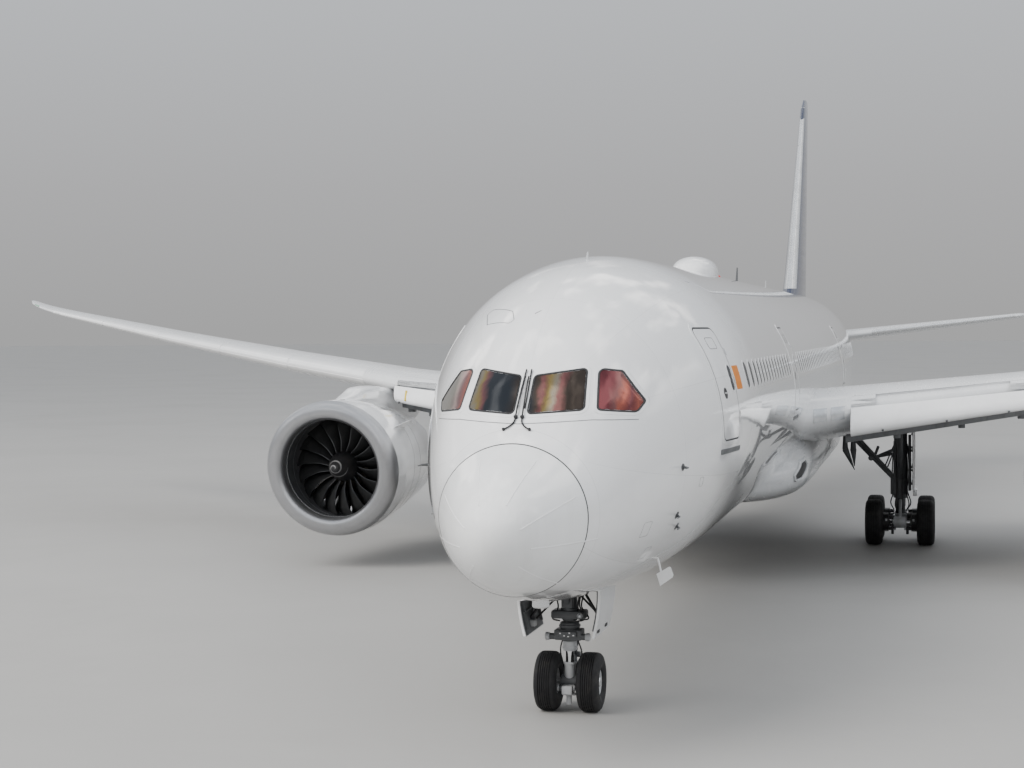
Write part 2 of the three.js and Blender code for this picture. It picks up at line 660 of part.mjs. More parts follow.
function noseFork() {
  const s = NOSE_GEAR.station;
  const axle = NOSE_GEAR.tyreRadius;
  const housing = 0.15;
  return joined(
    rod(place(0, s, 1.22), place(0, s, 1.56 - RUNNING), 0.165, 16),
    block(place(-0.24, s - 0.20, 1.24), place(0.24, s + 0.12, 1.42)),
    rod(place(0, s, 1.04), place(0, s, 1.30), 0.115, 16),
    rod(place(0, s, axle), place(0, s, 1.10), 0.07, 12),
    rod(place(-housing, s, axle), place(housing, s, axle), 0.115, 16),
    rod(place(0, s + 0.12, 1.20), place(0, s + 0.42, 0.90), 0.045, 8),
    rod(place(0, s + 0.42, 0.90), place(0, s + 0.06, 0.60), 0.045, 8),
    block(place(-TOW_FACE.halfWidth, s - TOW_FACE.aheadOfAxle, TOW_FACE.z - TOW_FACE.halfHeight),
      place(TOW_FACE.halfWidth, s, TOW_FACE.z + TOW_FACE.halfHeight)),
  ).subtract(rod(place(-1, s, axle), place(1, s, axle), NOSE_GEAR.axleRadius + PIN_PLAY, 16));
}

function noseDoor() {
  const { from, to, hingeX, footX, footZ, thickness } = NOSE_DOOR;
  const rings = [from, to].map((station, i) => [
    place(hingeX, station, 2.45), place(footX - 0.03 * i, station, footZ - 0.05 * i),
    place(footX - 0.03 * i + thickness, station, footZ - 0.05 * i), place(hingeX + thickness, station, 2.45),
  ]);
  return loft(rings);
}

// Main leg with its side brace, drag brace and torque links, cut to the wing above it
function mainLeg() {
  const { x, station: s } = MAIN_GEAR;
  const leg = joined(
    rod(place(x, s, 1.36), place(x, s, 4.4), 0.22, 16),
    rod(place(x, s, 0.885), place(x, s, 1.5), 0.135, 12),
    rod(place(x, s, 1.85), place(3.55, s - 0.05, 3.25), 0.085),
    rod(place(x, s, 2.92), place(4.25, s - 0.03, 2.60), 0.055, 8),
    rod(place(x, s, 1.80), place(x, s - 1.9, 4.3), 0.085),
    rod(place(x, s + 0.16, 1.46), place(x, s + 0.55, 1.16), 0.055, 8),
    rod(place(x, s + 0.55, 1.16), place(x, s + 0.10, 0.96), 0.055, 8),
  );
  return leg.subtract(grownWing);
}

function bogie() {
  const { x, station: s, axleSpread, tyreRadius: z, axleRadius } = MAIN_GEAR;
  const ends = [s - axleSpread, s + axleSpread];
  const hub = (station, radius, half) => rod(place(x - half, station, z), place(x + half, station, z), radius, 16);
  const beam = joined(
    rod(place(x, ends[0], z), place(x, ends[1], z), 0.135, 12),
    block(place(x - 0.15, s - 0.2, z), place(x + 0.15, s + 0.2, z + 0.198)),
    ...ends.map((station) => hub(station, 0.17, 0.19)),
  );
  return ends.reduce((shape, station) => shape.subtract(hub(station, axleRadius + PIN_PLAY, 1)), beam);
}

// The door that the leg carries, with its two links
const LEG_DOOR = { x: 5.36, from: 30.72, to: 32.0, foot: 1.60, thickness: 0.05 };

function legDoor() {
  const { x, from, to, foot, thickness } = LEG_DOOR;
  const legSide = MAIN_GEAR.x + 0.22 + GAP;
  const door = joined(
    block(place(x, from, foot), place(x + thickness, to, 4.1)),
    ...[2.2, 2.9].map((z) => rod(place(legSide, MAIN_GEAR.station, z), place(x + 0.02, MAIN_GEAR.station, z),
      0.04, 8)),
  );
  return door.subtract(grownWing);
}

// Finishes
const paint = (color, roughness, metalness = 0) => (
  new THREE.MeshStandardMaterial({ color, roughness, metalness }));
const WHITE = paint(0xeef0f1, 0.25);
const GREY = paint(0xa9adb1, 0.4);
const NAVY = paint(0x1c2c4c, 0.3);
const BARE_METAL = paint(0xb9bcbf, 0.25, 1);
const HOT_METAL = paint(0x6d675f, 0.45, 1);
const FAN_METAL = paint(0x2c2e31, 0.35, 0.8);
const GEAR_PAINT = paint(0xc9cccd, 0.4);
const TYRE = paint(0x17181a, 0.85);

const airliner = new THREE.Group();

function addNode(name, shape, material) {
  const mesh = new THREE.Mesh(geometryOf(shape), material);
  mesh.name = name;
  airliner.add(mesh);
}

// Both sides of a piece that is modelled to port, each cut to the body where it meets it
function addPair(name, shape, material, ...bodyCutters) {
  const fitted = (side) => bodyCutters.reduce((piece, cutter) => piece.subtract(cutter), side);
  addNode(`${name}_left`, fitted(shape), material);
  addNode(`${name}_right`, fitted(mirrored(shape)), material);
}

// Cutting copies, a hairline larger than what they stand for
const grownNose = fuselagePart(0, 12.6, GAP);
const grownMiddle = fuselagePart(12.6, 42, GAP);
const grownTail = fuselagePart(44, TAIL_END, GAP);
const grownBelly = bellyFairing(GAP);
const grownWing = wingLoft(GAP);

// Body
const noseBay = block(
  place(-NOSE_BAY.halfWidth, NOSE_BAY.from, 0), place(NOSE_BAY.halfWidth, NOSE_BAY.to, NOSE_BAY.top));
const NOSE_JACK = { station: 3.3, z: 2.12 };
const TAIL_JACK = { station: 47.0, z: 2.36 };
for (const { name, from, to } of BARRELS) {
  let barrel = fuselagePart(from === 0 ? 0 : from + GAP / 2, to === TAIL_END ? to : to - GAP / 2);
  if (name === 'fuselage_nose') {
    barrel = barrel.subtract(noseBay).add(jackPad(0, NOSE_JACK.station, NOSE_JACK.z, 0.5));
  }
  if (name === 'fuselage_tail') barrel = barrel.add(jackPad(0, TAIL_JACK.station, TAIL_JACK.z, 0.5));
  addNode(name, barrel, WHITE);
}
addNode('belly_fairing', bellyFairing().subtract(grownMiddle), GREY);

// Wings
const hinge = wingHinge();
const { fixed: wingBehind, moving: aileron } = splitSurface(wingLoft(), hinge);

// What the wing keeps under the slat, with all that lies below it
function underSlat(grow) {
  return loft([SLAT.from - SEAM, SLAT.to + SEAM].map((span) => {
    const row = between(WING, 'span', span);
    const corner = (fraction, drop) => {
      const { station, z } = wingPoint(row, fraction);
      return place(span, station - grow, z - drop);
    };
    const lip = SLAT.lip - grow;
    return [corner(SLAT.under, lip), corner(0.2, lip), corner(0.2, 2), corner(SLAT.under, 2)];
  }));
}

const innerNose = (grow) => moved(wingLoft(grow),
  new THREE.Matrix4().makeTranslation(0, SLAT.skin * MILLIMETRES, 0));
const slatSkin = wingLoft().intersect(chordStrip(SLAT.from, SLAT.to, -0.1, SLAT.fraction, 0))
  .subtract(innerNose(0)).subtract(underSlat(0));
const jack = wingJackFaceZ();
let wing = wingBehind.subtract(slatSkin);
for (const { from, to, fraction } of FLAPS) {
  wing = wing.subtract(chordStrip(from, to, fraction, 1.1, SEAM));
}
wing = joined(wing, ...TRACK_FAIRINGS.map((row) => trackFairing(row)),
  jackPad(WING_JACK.span, jack.station, jack.z, 0.3));
addPair('wing', wing, WHITE, grownMiddle, grownBelly);
for (const { name, from, to, fraction } of FLAPS) {
  const flap = TRACK_FAIRINGS.reduce((shape, row) => shape.subtract(trackFairing(row, GAP)),
    wingLoft().intersect(chordStrip(from, to, fraction, 1.1, 0)));
  addPair(name, flap, GREY);
}
addPair('aileron', aileron, WHITE);

// The slat is the wing's own nose skin, turned down about its rear edge and moved forward and down.
// Its track arms run back to the nose behind it.
function deployedSlat() {
  const root = wingPoint(between(WING, 'span', SLAT.from), SLAT.fraction);
  const tip = wingPoint(between(WING, 'span', SLAT.to), SLAT.fraction);
  const pivot = place(SLAT.from, root.station, root.z + root.half);
  const hingeLine = place(SLAT.to, tip.station, tip.z + tip.half).sub(pivot).normalize();
  const travel = new THREE.Matrix4().makeTranslation(
    pivot.x, pivot.y - SLAT.forward * MILLIMETRES, pivot.z - SLAT.drop * MILLIMETRES)
    .multiply(new THREE.Matrix4().makeRotationAxis(hingeLine, THREE.MathUtils.degToRad(SLAT.turn)))
    .multiply(new THREE.Matrix4().makeTranslation(-pivot.x, -pivot.y, -pivot.z));
  const arms = SLAT.arms.map((span) => {
    const { station, z } = wingPoint(between(WING, 'span', span), 0);
    return rod(place(span, station + SLAT.skin / 2, z).applyMatrix4(travel),
      place(span, station + 2 * SLAT.skin, z), SLAT.armRadius);
  });
  return joined(moved(slatSkin, travel), ...arms).subtract(innerNose(GAP)).subtract(underSlat(GAP))
    .intersect(chordStrip(SLAT.from + SEAM, SLAT.to - SEAM, -0.4, 0.3, 0));
}
addPair('inboard_slat', deployedSlat(), WHITE, grownMiddle, grownBelly);

// Engines
const cowl = leaning([...COWL, ...DUCT, COWL[0]]);
const nacelle = cowl.add(chine()).subtract(ductPlug(0));
const lipProfile = LIP.map(([radius, station]) => [radius, Math.min(station, LIP_JOINT - GAP)]);
const lip = leaning([...lipProfile, lipProfile[0]]);
const bifurcation = block(
  place(ENGINE.x - BIFURCATION.halfWidth, BIFURCATION.from, ENGINE.z - 1.8),
  place(ENGINE.x + BIFURCATION.halfWidth, BIFURCATION.to, ENGINE.z + 1.8)).intersect(ductPlug(-GAP));
const core = turned(CORE, ENGINE.x, ENGINE.z, CORE_SEGMENTS).add(bifurcation);
const grownCore = turned(outward(CORE.filter(([, station], i) => i < 7), GAP).concat([[0, 28.6]]),
  ENGINE.x, ENGINE.z, CORE_SEGMENTS);
const pylon = pylonLoft().subtract(cowlPlug(GAP)).subtract(grownCore).subtract(grownWing);
addPair('nacelle', nacelle, WHITE);
addPair('inlet_lip', lip, BARE_METAL);
const fanLeft = fan();
const acrossToRight = new THREE.Matrix4().makeTranslation(-2 * ENGINE.x * MILLIMETRES, 0, 0);
addNode('fan_left', fanLeft, FAN_METAL);
addNode('fan_right', moved(fanLeft, acrossToRight), FAN_METAL);
addPair('engine_core', core, HOT_METAL);
addPair('pylon', pylon, WHITE);

// Tail
const finHinge = tailHinge(FIN, 'z', RUDDER, (row, station) => place(0, station, row.z));
const { fixed: fin, moving: rudder } = splitSurface(finLoft(), finHinge);
addNode('fin', fin.subtract(grownTail), WHITE);
addNode('rudder', rudder, NAVY);
const tailplaneHinge = tailHinge(TAILPLANE, 'span', ELEVATOR, (row, station) => place(row.span, station, row.z));
const { fixed: stabilizer, moving: elevator } = splitSurface(tailplaneLoft(), tailplaneHinge);
addPair('stabilizer', stabilizer, GREY, grownTail);
addPair('elevator', elevator, GREY);

// Landing gear
addNode('nose_gear_leg', noseLeg(), GEAR_PAINT);
addNode('nose_gear_fork', noseFork(), GEAR_PAINT);
addPair('nose_gear_door', noseDoor(), WHITE, grownNose);
addNode('nose_wheels', wheelPair(NOSE_GEAR, 0, NOSE_GEAR.station), GEAR_PAINT);
addPair('nose_tyre', tyre(NOSE_GEAR, NOSE_GEAR.offset, NOSE_GEAR.station), TYRE);
addPair('main_gear_leg', mainLeg(), GEAR_PAINT, grownBelly);
addPair('bogie', bogie(), GEAR_PAINT);
addPair('main_gear_door', legDoor(), WHITE);
for (const [row, side] of [['front', -1], ['rear', 1]]) {
  const station = MAIN_GEAR.station + side * MAIN_GEAR.axleSpread;
  addPair(`main_wheels_${row}`, wheelPair(MAIN_GEAR, MAIN_GEAR.x, station), GEAR_PAINT);
  addPair(`main_tyre_${row}_outer`, tyre(MAIN_GEAR, MAIN_GEAR.x + MAIN_GEAR.offset, station), TYRE);
  addPair(`main_tyre_${row}_inner`, tyre(MAIN_GEAR, MAIN_GEAR.x - MAIN_GEAR.offset, station), TYRE);
}

export default airliner;
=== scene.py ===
"""Looks of the half-size wide body airliner, dressed round its packed frame.

Sizes and places are full-size metres: x to port, station aft of the nose tip, z above the ground.
at() turns them into the half-size frame's metres.
"""
from bisect import bisect_right
from math import acos, asin, copysign, cos, hypot, pi, radians, sin, sqrt, tan
from types import SimpleNamespace as Dims

import bmesh
import bpy
from mathutils import Matrix, Vector


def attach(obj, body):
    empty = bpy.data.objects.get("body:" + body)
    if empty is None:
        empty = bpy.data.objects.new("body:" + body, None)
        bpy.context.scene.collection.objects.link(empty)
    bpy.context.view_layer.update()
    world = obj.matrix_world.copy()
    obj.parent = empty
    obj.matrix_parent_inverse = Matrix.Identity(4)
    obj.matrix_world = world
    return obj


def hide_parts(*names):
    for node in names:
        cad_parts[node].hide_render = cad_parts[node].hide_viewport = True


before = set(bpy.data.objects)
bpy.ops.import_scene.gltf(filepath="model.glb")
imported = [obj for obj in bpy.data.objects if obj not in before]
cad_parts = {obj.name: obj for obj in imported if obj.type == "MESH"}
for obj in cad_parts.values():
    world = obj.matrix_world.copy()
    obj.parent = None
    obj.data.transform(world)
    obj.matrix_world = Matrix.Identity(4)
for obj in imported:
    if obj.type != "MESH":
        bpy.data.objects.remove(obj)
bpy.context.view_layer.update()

# Driving dimensions
SCALE = 0.5
LENGTH = 62.81
HALF_SPAN = 30.06
FIN_TOP = 17.02
RADOME_SEAM = 1.42
TAIL_END = 62.0
PORT, STARBOARD = 1, -1
SIDES = (("left", PORT), ("right", STARBOARD))
AIRFRAME = "airframe"
TURN = 2 * pi


def at(x, station, z):
    """A place in the frame, in metres, from full-size metres."""
    return Vector((x, station - LENGTH / 2, z)) * SCALE


def mix(a, b, t):
    return a + (b - a) * t


# Camera, found from the photograph's own sight lines
CAMERA_PLACE = at(6.2548, -24.5468, 6.5380)
CAMERA_YAW = radians(13.535)
CAMERA_DIP = radians(1.703)
CAMERA_ROLL = radians(-0.426)
LENS_MM = 63.15
SENSOR_MM = 36.0


# Tables and the curves through them


def table(columns, *rows):
    return [Dims(**dict(zip(columns, row))) for row in rows]


def curve(rows, key, column, warp=float):
    """A curve through one column of a table that never overshoots its rows."""
    places = [warp(getattr(row, key)) for row in rows]
    values = [getattr(row, column) for row in rows]
    rise = [(values[i + 1] - values[i]) / (places[i + 1] - places[i]) for i in range(len(rows) - 1)]
    slopes = [rise[0]]
    for before, after in zip(rise, rise[1:]):
        slopes.append(0.0 if before * after <= 0 else 2 * before * after / (before + after))
    slopes.append(rise[-1])

    def value(key_value):
        u = warp(key_value)
        i = min(max(bisect_right(places, u) - 1, 0), len(rise) - 1)
        span = places[i + 1] - places[i]
        t = (u - places[i]) / span
        return ((2 * t**3 - 3 * t**2 + 1) * values[i] + (t**3 - 2 * t**2 + t) * span * slopes[i]
                + (3 * t**2 - 2 * t**3) * values[i + 1] + (t**3 - t**2) * span * slopes[i + 1])

    return value


# Fuselage lines: heights of top and bottom, half width, and height of the widest place
HULL = table(
    ("station", "top", "bottom", "half", "waist"),
    (0.00, 3.65, 3.65, 0.00, 3.65),
    (0.30, 4.20, 3.10, 0.53, 3.66),
    (0.75, 4.50, 2.80, 0.83, 3.70),
    (1.50, 4.90, 2.54, 1.18, 3.78),
    (2.00, 5.33, 2.42, 1.39, 3.88),
    (2.60, 5.92, 2.32, 1.62, 4.02),
    (3.50, 6.60, 2.19, 1.92, 4.24),
    (5.00, 7.30, 2.08, 2.34, 4.55),
    (6.50, 7.70, 2.02, 2.67, 4.78),
    (8.50, 7.92, 1.99, 2.85, 4.92),
    (10.0, 7.95, 1.98, 2.885, 4.95),
    (42.0, 7.95, 1.98, 2.885, 4.95),
    (46.0, 7.95, 2.28, 2.83, 5.03),
    (50.0, 7.92, 3.06, 2.60, 5.35),
    (54.0, 7.76, 4.08, 2.04, 5.82),
    (57.0, 7.48, 4.88, 1.52, 6.12),
    (59.5, 7.13, 5.46, 1.00, 6.27),
    (61.0, 6.86, 5.78, 0.64, 6.32),
    (TAIL_END, 6.60, 6.02, 0.30, 6.32),
)
HULL_LINES = [curve(HULL, "station", name, sqrt) for name in ("top", "bottom", "half", "waist")]
HULL_SIDES = 112
BARRELS = table(
    ("name", "start", "end", "rings"),
    ("radome", 0.0, RADOME_SEAM, 22),
    ("fuselage_nose", RADOME_SEAM, 12.6, 44),
    ("fuselage_forward", 12.6, 21.5, 3),
    ("fuselage_centre", 21.5, 35.5, 3),
    ("fuselage_aft", 35.5, 46.0, 12),
    ("fuselage_tail", 46.0, 59.5, 28),
    ("tail_cone", 59.5, TAIL_END, 12),
)
NOSE_END = 12.0


def hull_section(station):
    top, bottom, half, waist = (line(station) for line in HULL_LINES)
    return top - waist, waist - bottom, max(half, 1e-6), waist


def hull_point(station, angle, lift=0.0):
    """A place on the body's skin: the angle is 0 on top and grows to port."""
    above, below, half, waist = hull_section(station)
    rise = cos(angle)
    reach = above if rise > 0 else below
    return at((half + lift) * sin(angle), station, waist + (reach + lift) * rise)


def hull_field(x, station, z):
    """Below 1 inside the body, above 1 outside it."""
    above, below, half, waist = hull_section(station)
    reach = above if z > waist else below
    return (x / half) ** 2 + ((z - waist) / reach) ** 2


def hull_normal(x, station, z):
    step = 0.002
    ahead = max(station - step, 1e-4)
    return Vector((
        hull_field(x + step, station, z) - hull_field(x - step, station, z),
        (hull_field(x, station + step, z) - hull_field(x, ahead, z)) * 2 * step / (station + step - ahead),
        hull_field(x, station, z + step) - hull_field(x, station, z - step),
    )).normalized()


def side_skin(station, z, lift=0.0):
    """A place on the port side of the body, at a station and a height."""
    above, below, half, waist = hull_section(station)
    reach = above if z > waist else below
    x = half * sqrt(max(1 - ((z - waist) / reach) ** 2, 0.0))
    return at(x, station, z) + SCALE * lift * hull_normal(x, station, z)


def nose_skin(x, z, lift=0.0):
    """A place on the nose as it is seen from ahead."""
    near, far = 1e-4, NOSE_END
    for _ in range(36):
        station = (near + far) / 2
        if hull_field(x, station, z) > 1:
            near = station
        else:
            far = station
    return at(x, station, z) + SCALE * lift * hull_normal(x, station, z)


def crown_skin(x, station, lift=0.0):
    """A place on the roof, at a distance from the middle line and a station."""
    above, _, half, waist = hull_section(station)
    z = waist + above * sqrt(max(1 - (x / half) ** 2, 0.0))
    return at(x, station, z) + SCALE * lift * hull_normal(x, station, z)


def keel_skin(x, station, lift=0.0):
    """A place under the body, at a distance from the middle line and a station."""
    _, below, half, waist = hull_section(station)
    z = waist - below * sqrt(max(1 - (x / half) ** 2, 0.0))
    return at(x, station, z) + SCALE * lift * hull_normal(x, station, z)


# Modelling by hand: selection, edit mode, modifiers


def pick(*objects):
    bpy.ops.object.select_all(action="DESELECT")
    for obj in objects:
        obj.select_set(True)
    bpy.context.view_layer.objects.active = objects[0]


MERGE_DISTANCE = 0.00005


def tidy_mesh(obj):
    """Merges doubles and turns every face outwards."""
    pick(obj)
    bpy.ops.object.mode_set(mode="EDIT")
    bpy.ops.mesh.select_all(action="SELECT")
    bpy.ops.mesh.remove_doubles(threshold=MERGE_DISTANCE)
    bpy.ops.mesh.normals_make_consistent(inside=False)
    bpy.ops.object.mode_set(mode="OBJECT")
    return obj


def modify(obj, kind, **settings):
    """Adds one modifier and applies it."""
    pick(obj)
    modifier = obj.modifiers.new(kind.title(), kind)
    for name, value in settings.items():
        setattr(modifier, name, value)
    bpy.ops.object.modifier_apply(modifier=modifier.name)
    return obj


def combine(obj, other, operation):
    """A boolean with another solid, whose own finish goes onto the faces that it leaves."""
    modify(obj, "BOOLEAN", object=other, operation=operation, solver="EXACT", material_mode="TRANSFER")
    bpy.data.objects.remove(other)
    return obj


def cut(obj, other):
    return combine(obj, other, "DIFFERENCE")


def join(objects):
    objects = list(objects)
    if len(objects) > 1:
        pick(*objects)
        bpy.ops.object.join()
    return objects[0]


def duplicate(obj, matrix=None):
    """A copy with its own mesh, moved by a matrix."""
    copy = obj.copy()
    copy.data = obj.data.copy()
    bpy.context.scene.collection.objects.link(copy)
    if matrix is not None:
        copy.data.transform(matrix)
        if matrix.determinant() < 0:
            copy.data.flip_normals()
    return copy


MIRROR = Matrix.Scale(-1, 4, (1, 0, 0))


def shifted(x, station=0.0, z=0.0):
    return Matrix.Translation(Vector((x, station, z)) * SCALE)


def turned_about(place, axis, angle):
    return Matrix.Translation(place) @ Matrix.Rotation(angle, 4, axis) @ Matrix.Translation(-place)


def paint(obj, *materials):
    obj.data.materials.clear()
    for material in materials:
        obj.data.materials.append(material)
    return obj


def dress(parts, finish, name, body=AIRFRAME, replaces=(), sharp=32, slot=None):
    """Makes parts one piece with its finish, name and smooth shading, and lets it ride on its body."""
    obj = join(parts) if isinstance(parts, list) else parts
    if finish:
        paint(obj, finish)
    obj.name = name
    obj.data.name = name
    pick(obj)
    bpy.ops.object.transform_apply(location=True, rotation=True, scale=True)
    bpy.ops.object.shade_smooth_by_angle(angle=radians(sharp))
    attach(obj, body)
    slot or SLOTS[finish.name]
    if replaces:
        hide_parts(*replaces)


def dress_both(parts, finish, name, body=AIRFRAME, replaces=(), sharp=32, slot=None):
    """A port piece and its mirror image. Bodies and nodes that end in _ get the ending left or right."""
    port = join(parts) if isinstance(parts, list) else parts
    for piece, (side, _) in zip((port, duplicate(port, MIRROR)), SIDES):
        def sided(text):
            return text + side if text.endswith("_") else text
        dress(piece, finish, f"{name}_{side}", sided(body), [sided(node) for node in replaces], sharp, slot)


# Solids through rings of points


def loft(rings, cap=True):
    """A skin through rings of equally many points: a circle, extruded once for each further ring."""
    bpy.ops.object.select_all(action="DESELECT")
    fill = "NGON" if cap else "NOTHING"
    bpy.ops.mesh.primitive_circle_add(vertices=len(rings[0]), fill_type=fill, enter_editmode=True)
    obj = bpy.context.object
    mesh = bmesh.from_edit_mesh(obj.data)
    number = mesh.verts.layers.int.new("number")
    for i, vert in enumerate(mesh.verts):
        vert[number] = i
        vert.co = rings[0][i]
    for ring in rings[1:]:
        bpy.ops.mesh.extrude_edges_indiv()
        mesh = bmesh.from_edit_mesh(obj.data)
        number = mesh.verts.layers.int["number"]
        for vert in mesh.verts:
            if vert.select:
                vert.co = ring[vert[number]]
    if cap:
        bpy.ops.mesh.edge_face_add()
    bpy.ops.object.mode_set(mode="OBJECT")
    obj.data.attributes.remove(obj.data.attributes["number"])
    return tidy_mesh(obj)


def angles(count, start=0.0):
    return [start + TURN * i / count for i in range(count)]


def spun(profile, origin, axis, sides):
    """A body of revolution: profile rows are (radius, distance along the axis)."""
    along = Vector(axis).normalized()
    across = along.orthogonal().normalized()
    up = along.cross(across)
    rings = []
    for radius, far in profile:
        rings.append([origin + SCALE * (along * far + radius * (across * cos(a) + up * sin(a)))
                      for a in angles(sides)])
    return loft(rings, cap=False)


def bar(start, end, radius, end_radius=None, sides=20, edge=0.012):
    """A round bar with softened ends, which may taper."""
    end_radius = radius if end_radius is None else end_radius
    length = (end - start).length / SCALE
    edge = min(edge, radius / 2, end_radius / 2, length / 4)
    profile = ((0, 0), (radius - edge, 0), (radius, edge), (end_radius, length - edge),
               (end_radius - edge, length), (0, length))
    return spun(profile, start, end - start, sides)


def slab(low, high, edge):
    """A block between two corners, with its edges rounded."""
    bpy.ops.object.select_all(action="DESELECT")
    bpy.ops.mesh.primitive_cube_add(size=1, location=(low + high) / 2, scale=high - low)
    obj = bpy.context.object
    bpy.ops.object.transform_apply(location=True, rotation=True, scale=True)
    return modify(obj, "BEVEL", width=edge * SCALE, segments=2)


def smooth_path(points, steps):
    """Points of a curve that passes through every given point."""
    ends = [2 * points[0] - points[1], *points, 2 * points[-1] - points[-2]]
    path = []
    for a, b, c, d in zip(ends, ends[1:], ends[2:], ends[3:]):
        for i in range(steps):
            t = i / steps
            path.append(0.5 * (2 * b + (c - a) * t + (2 * a - 5 * b + 4 * c - d) * t**2
                               + (3 * b - a - 3 * c + d) * t**3))
    return [*path, points[-1]]


HOSE_STEPS = 6


def hose(points, radius, sides):
    """A round hose, pipe or cable through a few places."""
    path = smooth_path(points, HOSE_STEPS)
    across = (path[1] - path[0]).orthogonal().normalized()
    rings = []
    for i, place in enumerate(path):
        along = (path[min(i + 1, len(path) - 1)] - path[max(i - 1, 0)]).normalized()
        across = (across - along * across.dot(along)).normalized()
        up = along.cross(across)
        rings.append([place + SCALE * radius * (across * cos(a) + up * sin(a)) for a in angles(sides)])
    return loft(rings)


# Outlines on a skin


def rounded(corners, radius, steps, spacing):
    """A closed outline of (u, v) points with rounded corners, and points along its long edges."""
    corners = [Vector(corner) for corner in corners]
    outline = []
    for i, corner in enumerate(corners):
        before, after = corners[i - 1] - corner, corners[(i + 1) % len(corners)] - corner
        half_angle = before.angle(after) / 2
        reach = min(radius / tan(half_angle), 0.48 * before.length, 0.48 * after.length)
        arm = reach * tan(half_angle)
        middle = corner + (before.normalized() + after.normalized()).normalized() * hypot(reach, arm)
        first = corner + before.normalized() * reach - middle
        last = corner + after.normalized() * reach - middle
        for k in range(steps + 1):
            spoke = first.lerp(last, k / steps).normalized() * arm
            outline.append(middle + spoke)
    filled = []
    for here, there in zip(outline, outline[1:] + outline[:1]):
        parts = max(1, round((there - here).length / spacing))
        filled.extend(here.lerp(there, k / parts) for k in range(parts))
    return filled


def rectangle(u, v, width, height, radius, steps, spacing):
    """A rounded rectangle about its middle."""
    w, h = width / 2, height / 2
    return rounded(((u - w, v - h), (u + w, v - h), (u + w, v + h), (u - w, v + h)), radius, steps, spacing)


def grown(outline, by):
    """The outline moved outwards, or inwards where the distance is negative."""
    area = sum(a.x * b.y - b.x * a.y for a, b in zip(outline, outline[1:] + outline[:1]))
    hand = copysign(1, area)
    moved = []
    for i, point in enumerate(outline):
        along = (outline[(i + 1) % len(outline)] - outline[i - 1]).normalized()
        moved.append(point + Vector((along.y, -along.x)) * hand * by)
    return moved


def on_skin(outline, skin, lift):
    return [skin(point.x, point.y, lift) for point in outline]


def plate(outline, skin, high, low=-0.02, edge=0.004, inner=(0.7, 0.35)):
    """A plate on a skin, from under it to its own face, with softened edges."""
    centre = sum(outline, Vector((0, 0))) / len(outline)
    face = grown(outline, -edge)
    rings = [on_skin(outline, skin, low), on_skin(outline, skin, high - edge), on_skin(face, skin, high)]
    for t in inner:
        rings.append(on_skin([centre.lerp(point, t) for point in face], skin, high))
    rings.append([skin(centre.x, centre.y, high)] * len(outline))
    return loft(rings)


def band(outer, inner, skin, high, low=-0.02, edge=0.003):
    """A closed frame on a skin between two outlines of equally many points."""
    rings = [on_skin(outer, skin, low), on_skin(outer, skin, high - edge),
             on_skin(grown(outer, -edge), skin, high), on_skin(grown(inner, edge), skin, high),
             on_skin(inner, skin, high - edge), on_skin(inner, skin, low)]
    return loft([*rings, rings[0]], cap=False)


def strip(path, width, skin, high, low=-0.01):
    """A narrow raised strip along a line on a skin."""
    rings = []
    for i, point in enumerate(path):
        along = (path[min(i + 1, len(path) - 1)] - path[max(i - 1, 0)]).normalized()
        across = Vector((along.y, -along.x)) * width / 2
        sides = ((across, low), (across, high * 0.7), (across * 0.6, high),
                 (-across * 0.6, high), (-across, high * 0.7), (-across, low))
        rings.append([skin(point.x + shift.x, point.y + shift.y, lift) for shift, lift in sides])
    return loft(rings)


def polyline(points, spacing):
    """Evenly filled straight stretches between points."""
    points = [Vector(point) for point in points]
    path = []
    for here, there in zip(points, points[1:]):
        parts = max(1, round((there - here).length / spacing))
        path.extend(here.lerp(there, k / parts) for k in range(parts))
    return [*path, points[-1]]


# Finishes: shader helpers and the groups that several finishes share


def add_node(tree, kind, inputs=None, **settings):
    """One shader node, its inputs given as plain values or as sockets to link."""
    made = tree.nodes.new("ShaderNode" + kind)
    for name, value in settings.items():
        setattr(made, name, value)
    for name, value in (inputs or {}).items():
        if isinstance(value, bpy.types.NodeSocket):
            tree.links.new(value, made.inputs[name])
        else:
            made.inputs[name].default_value = value
    return made


def math_node(tree, operation, a, b=0.0, c=0.0, clamp=False):
    return add_node(tree, "Math", {0: a, 1: b, 2: c}, operation=operation, use_clamp=clamp).outputs[0]


def blend_colours(tree, mask, a, b):
    made = add_node(tree, "Mix", {0: mask, 6: a, 7: b}, data_type="RGBA", blend_type="MIX")
    return made.outputs[2]


def object_place(tree):
    return add_node(tree, "TexCoord").outputs["Object"]


def split_place(tree, place):
    made = add_node(tree, "SeparateXYZ", {0: place})
    return made.outputs["X"], made.outputs["Y"], made.outputs["Z"]


def new_group(name, inputs, outputs):
    """A shader node group. Inputs are (name, socket kind, usual value) rows and outputs are names."""
    group = bpy.data.node_groups.new(name, "ShaderNodeTree")
    for label, kind, value in inputs:
        socket = group.interface.new_socket(label, in_out="INPUT", socket_type=kind)
        socket.default_value = value
    for label in outputs:
        group.interface.new_socket(label, in_out="OUTPUT", socket_type="NodeSocketFloat")
    entry = group.nodes.new("NodeGroupInput")
    leaving = group.nodes.new("NodeGroupOutput")
    return group, entry.outputs, leaving.inputs


FLOAT, VECTOR = "NodeSocketFloat", "NodeSocketVector"


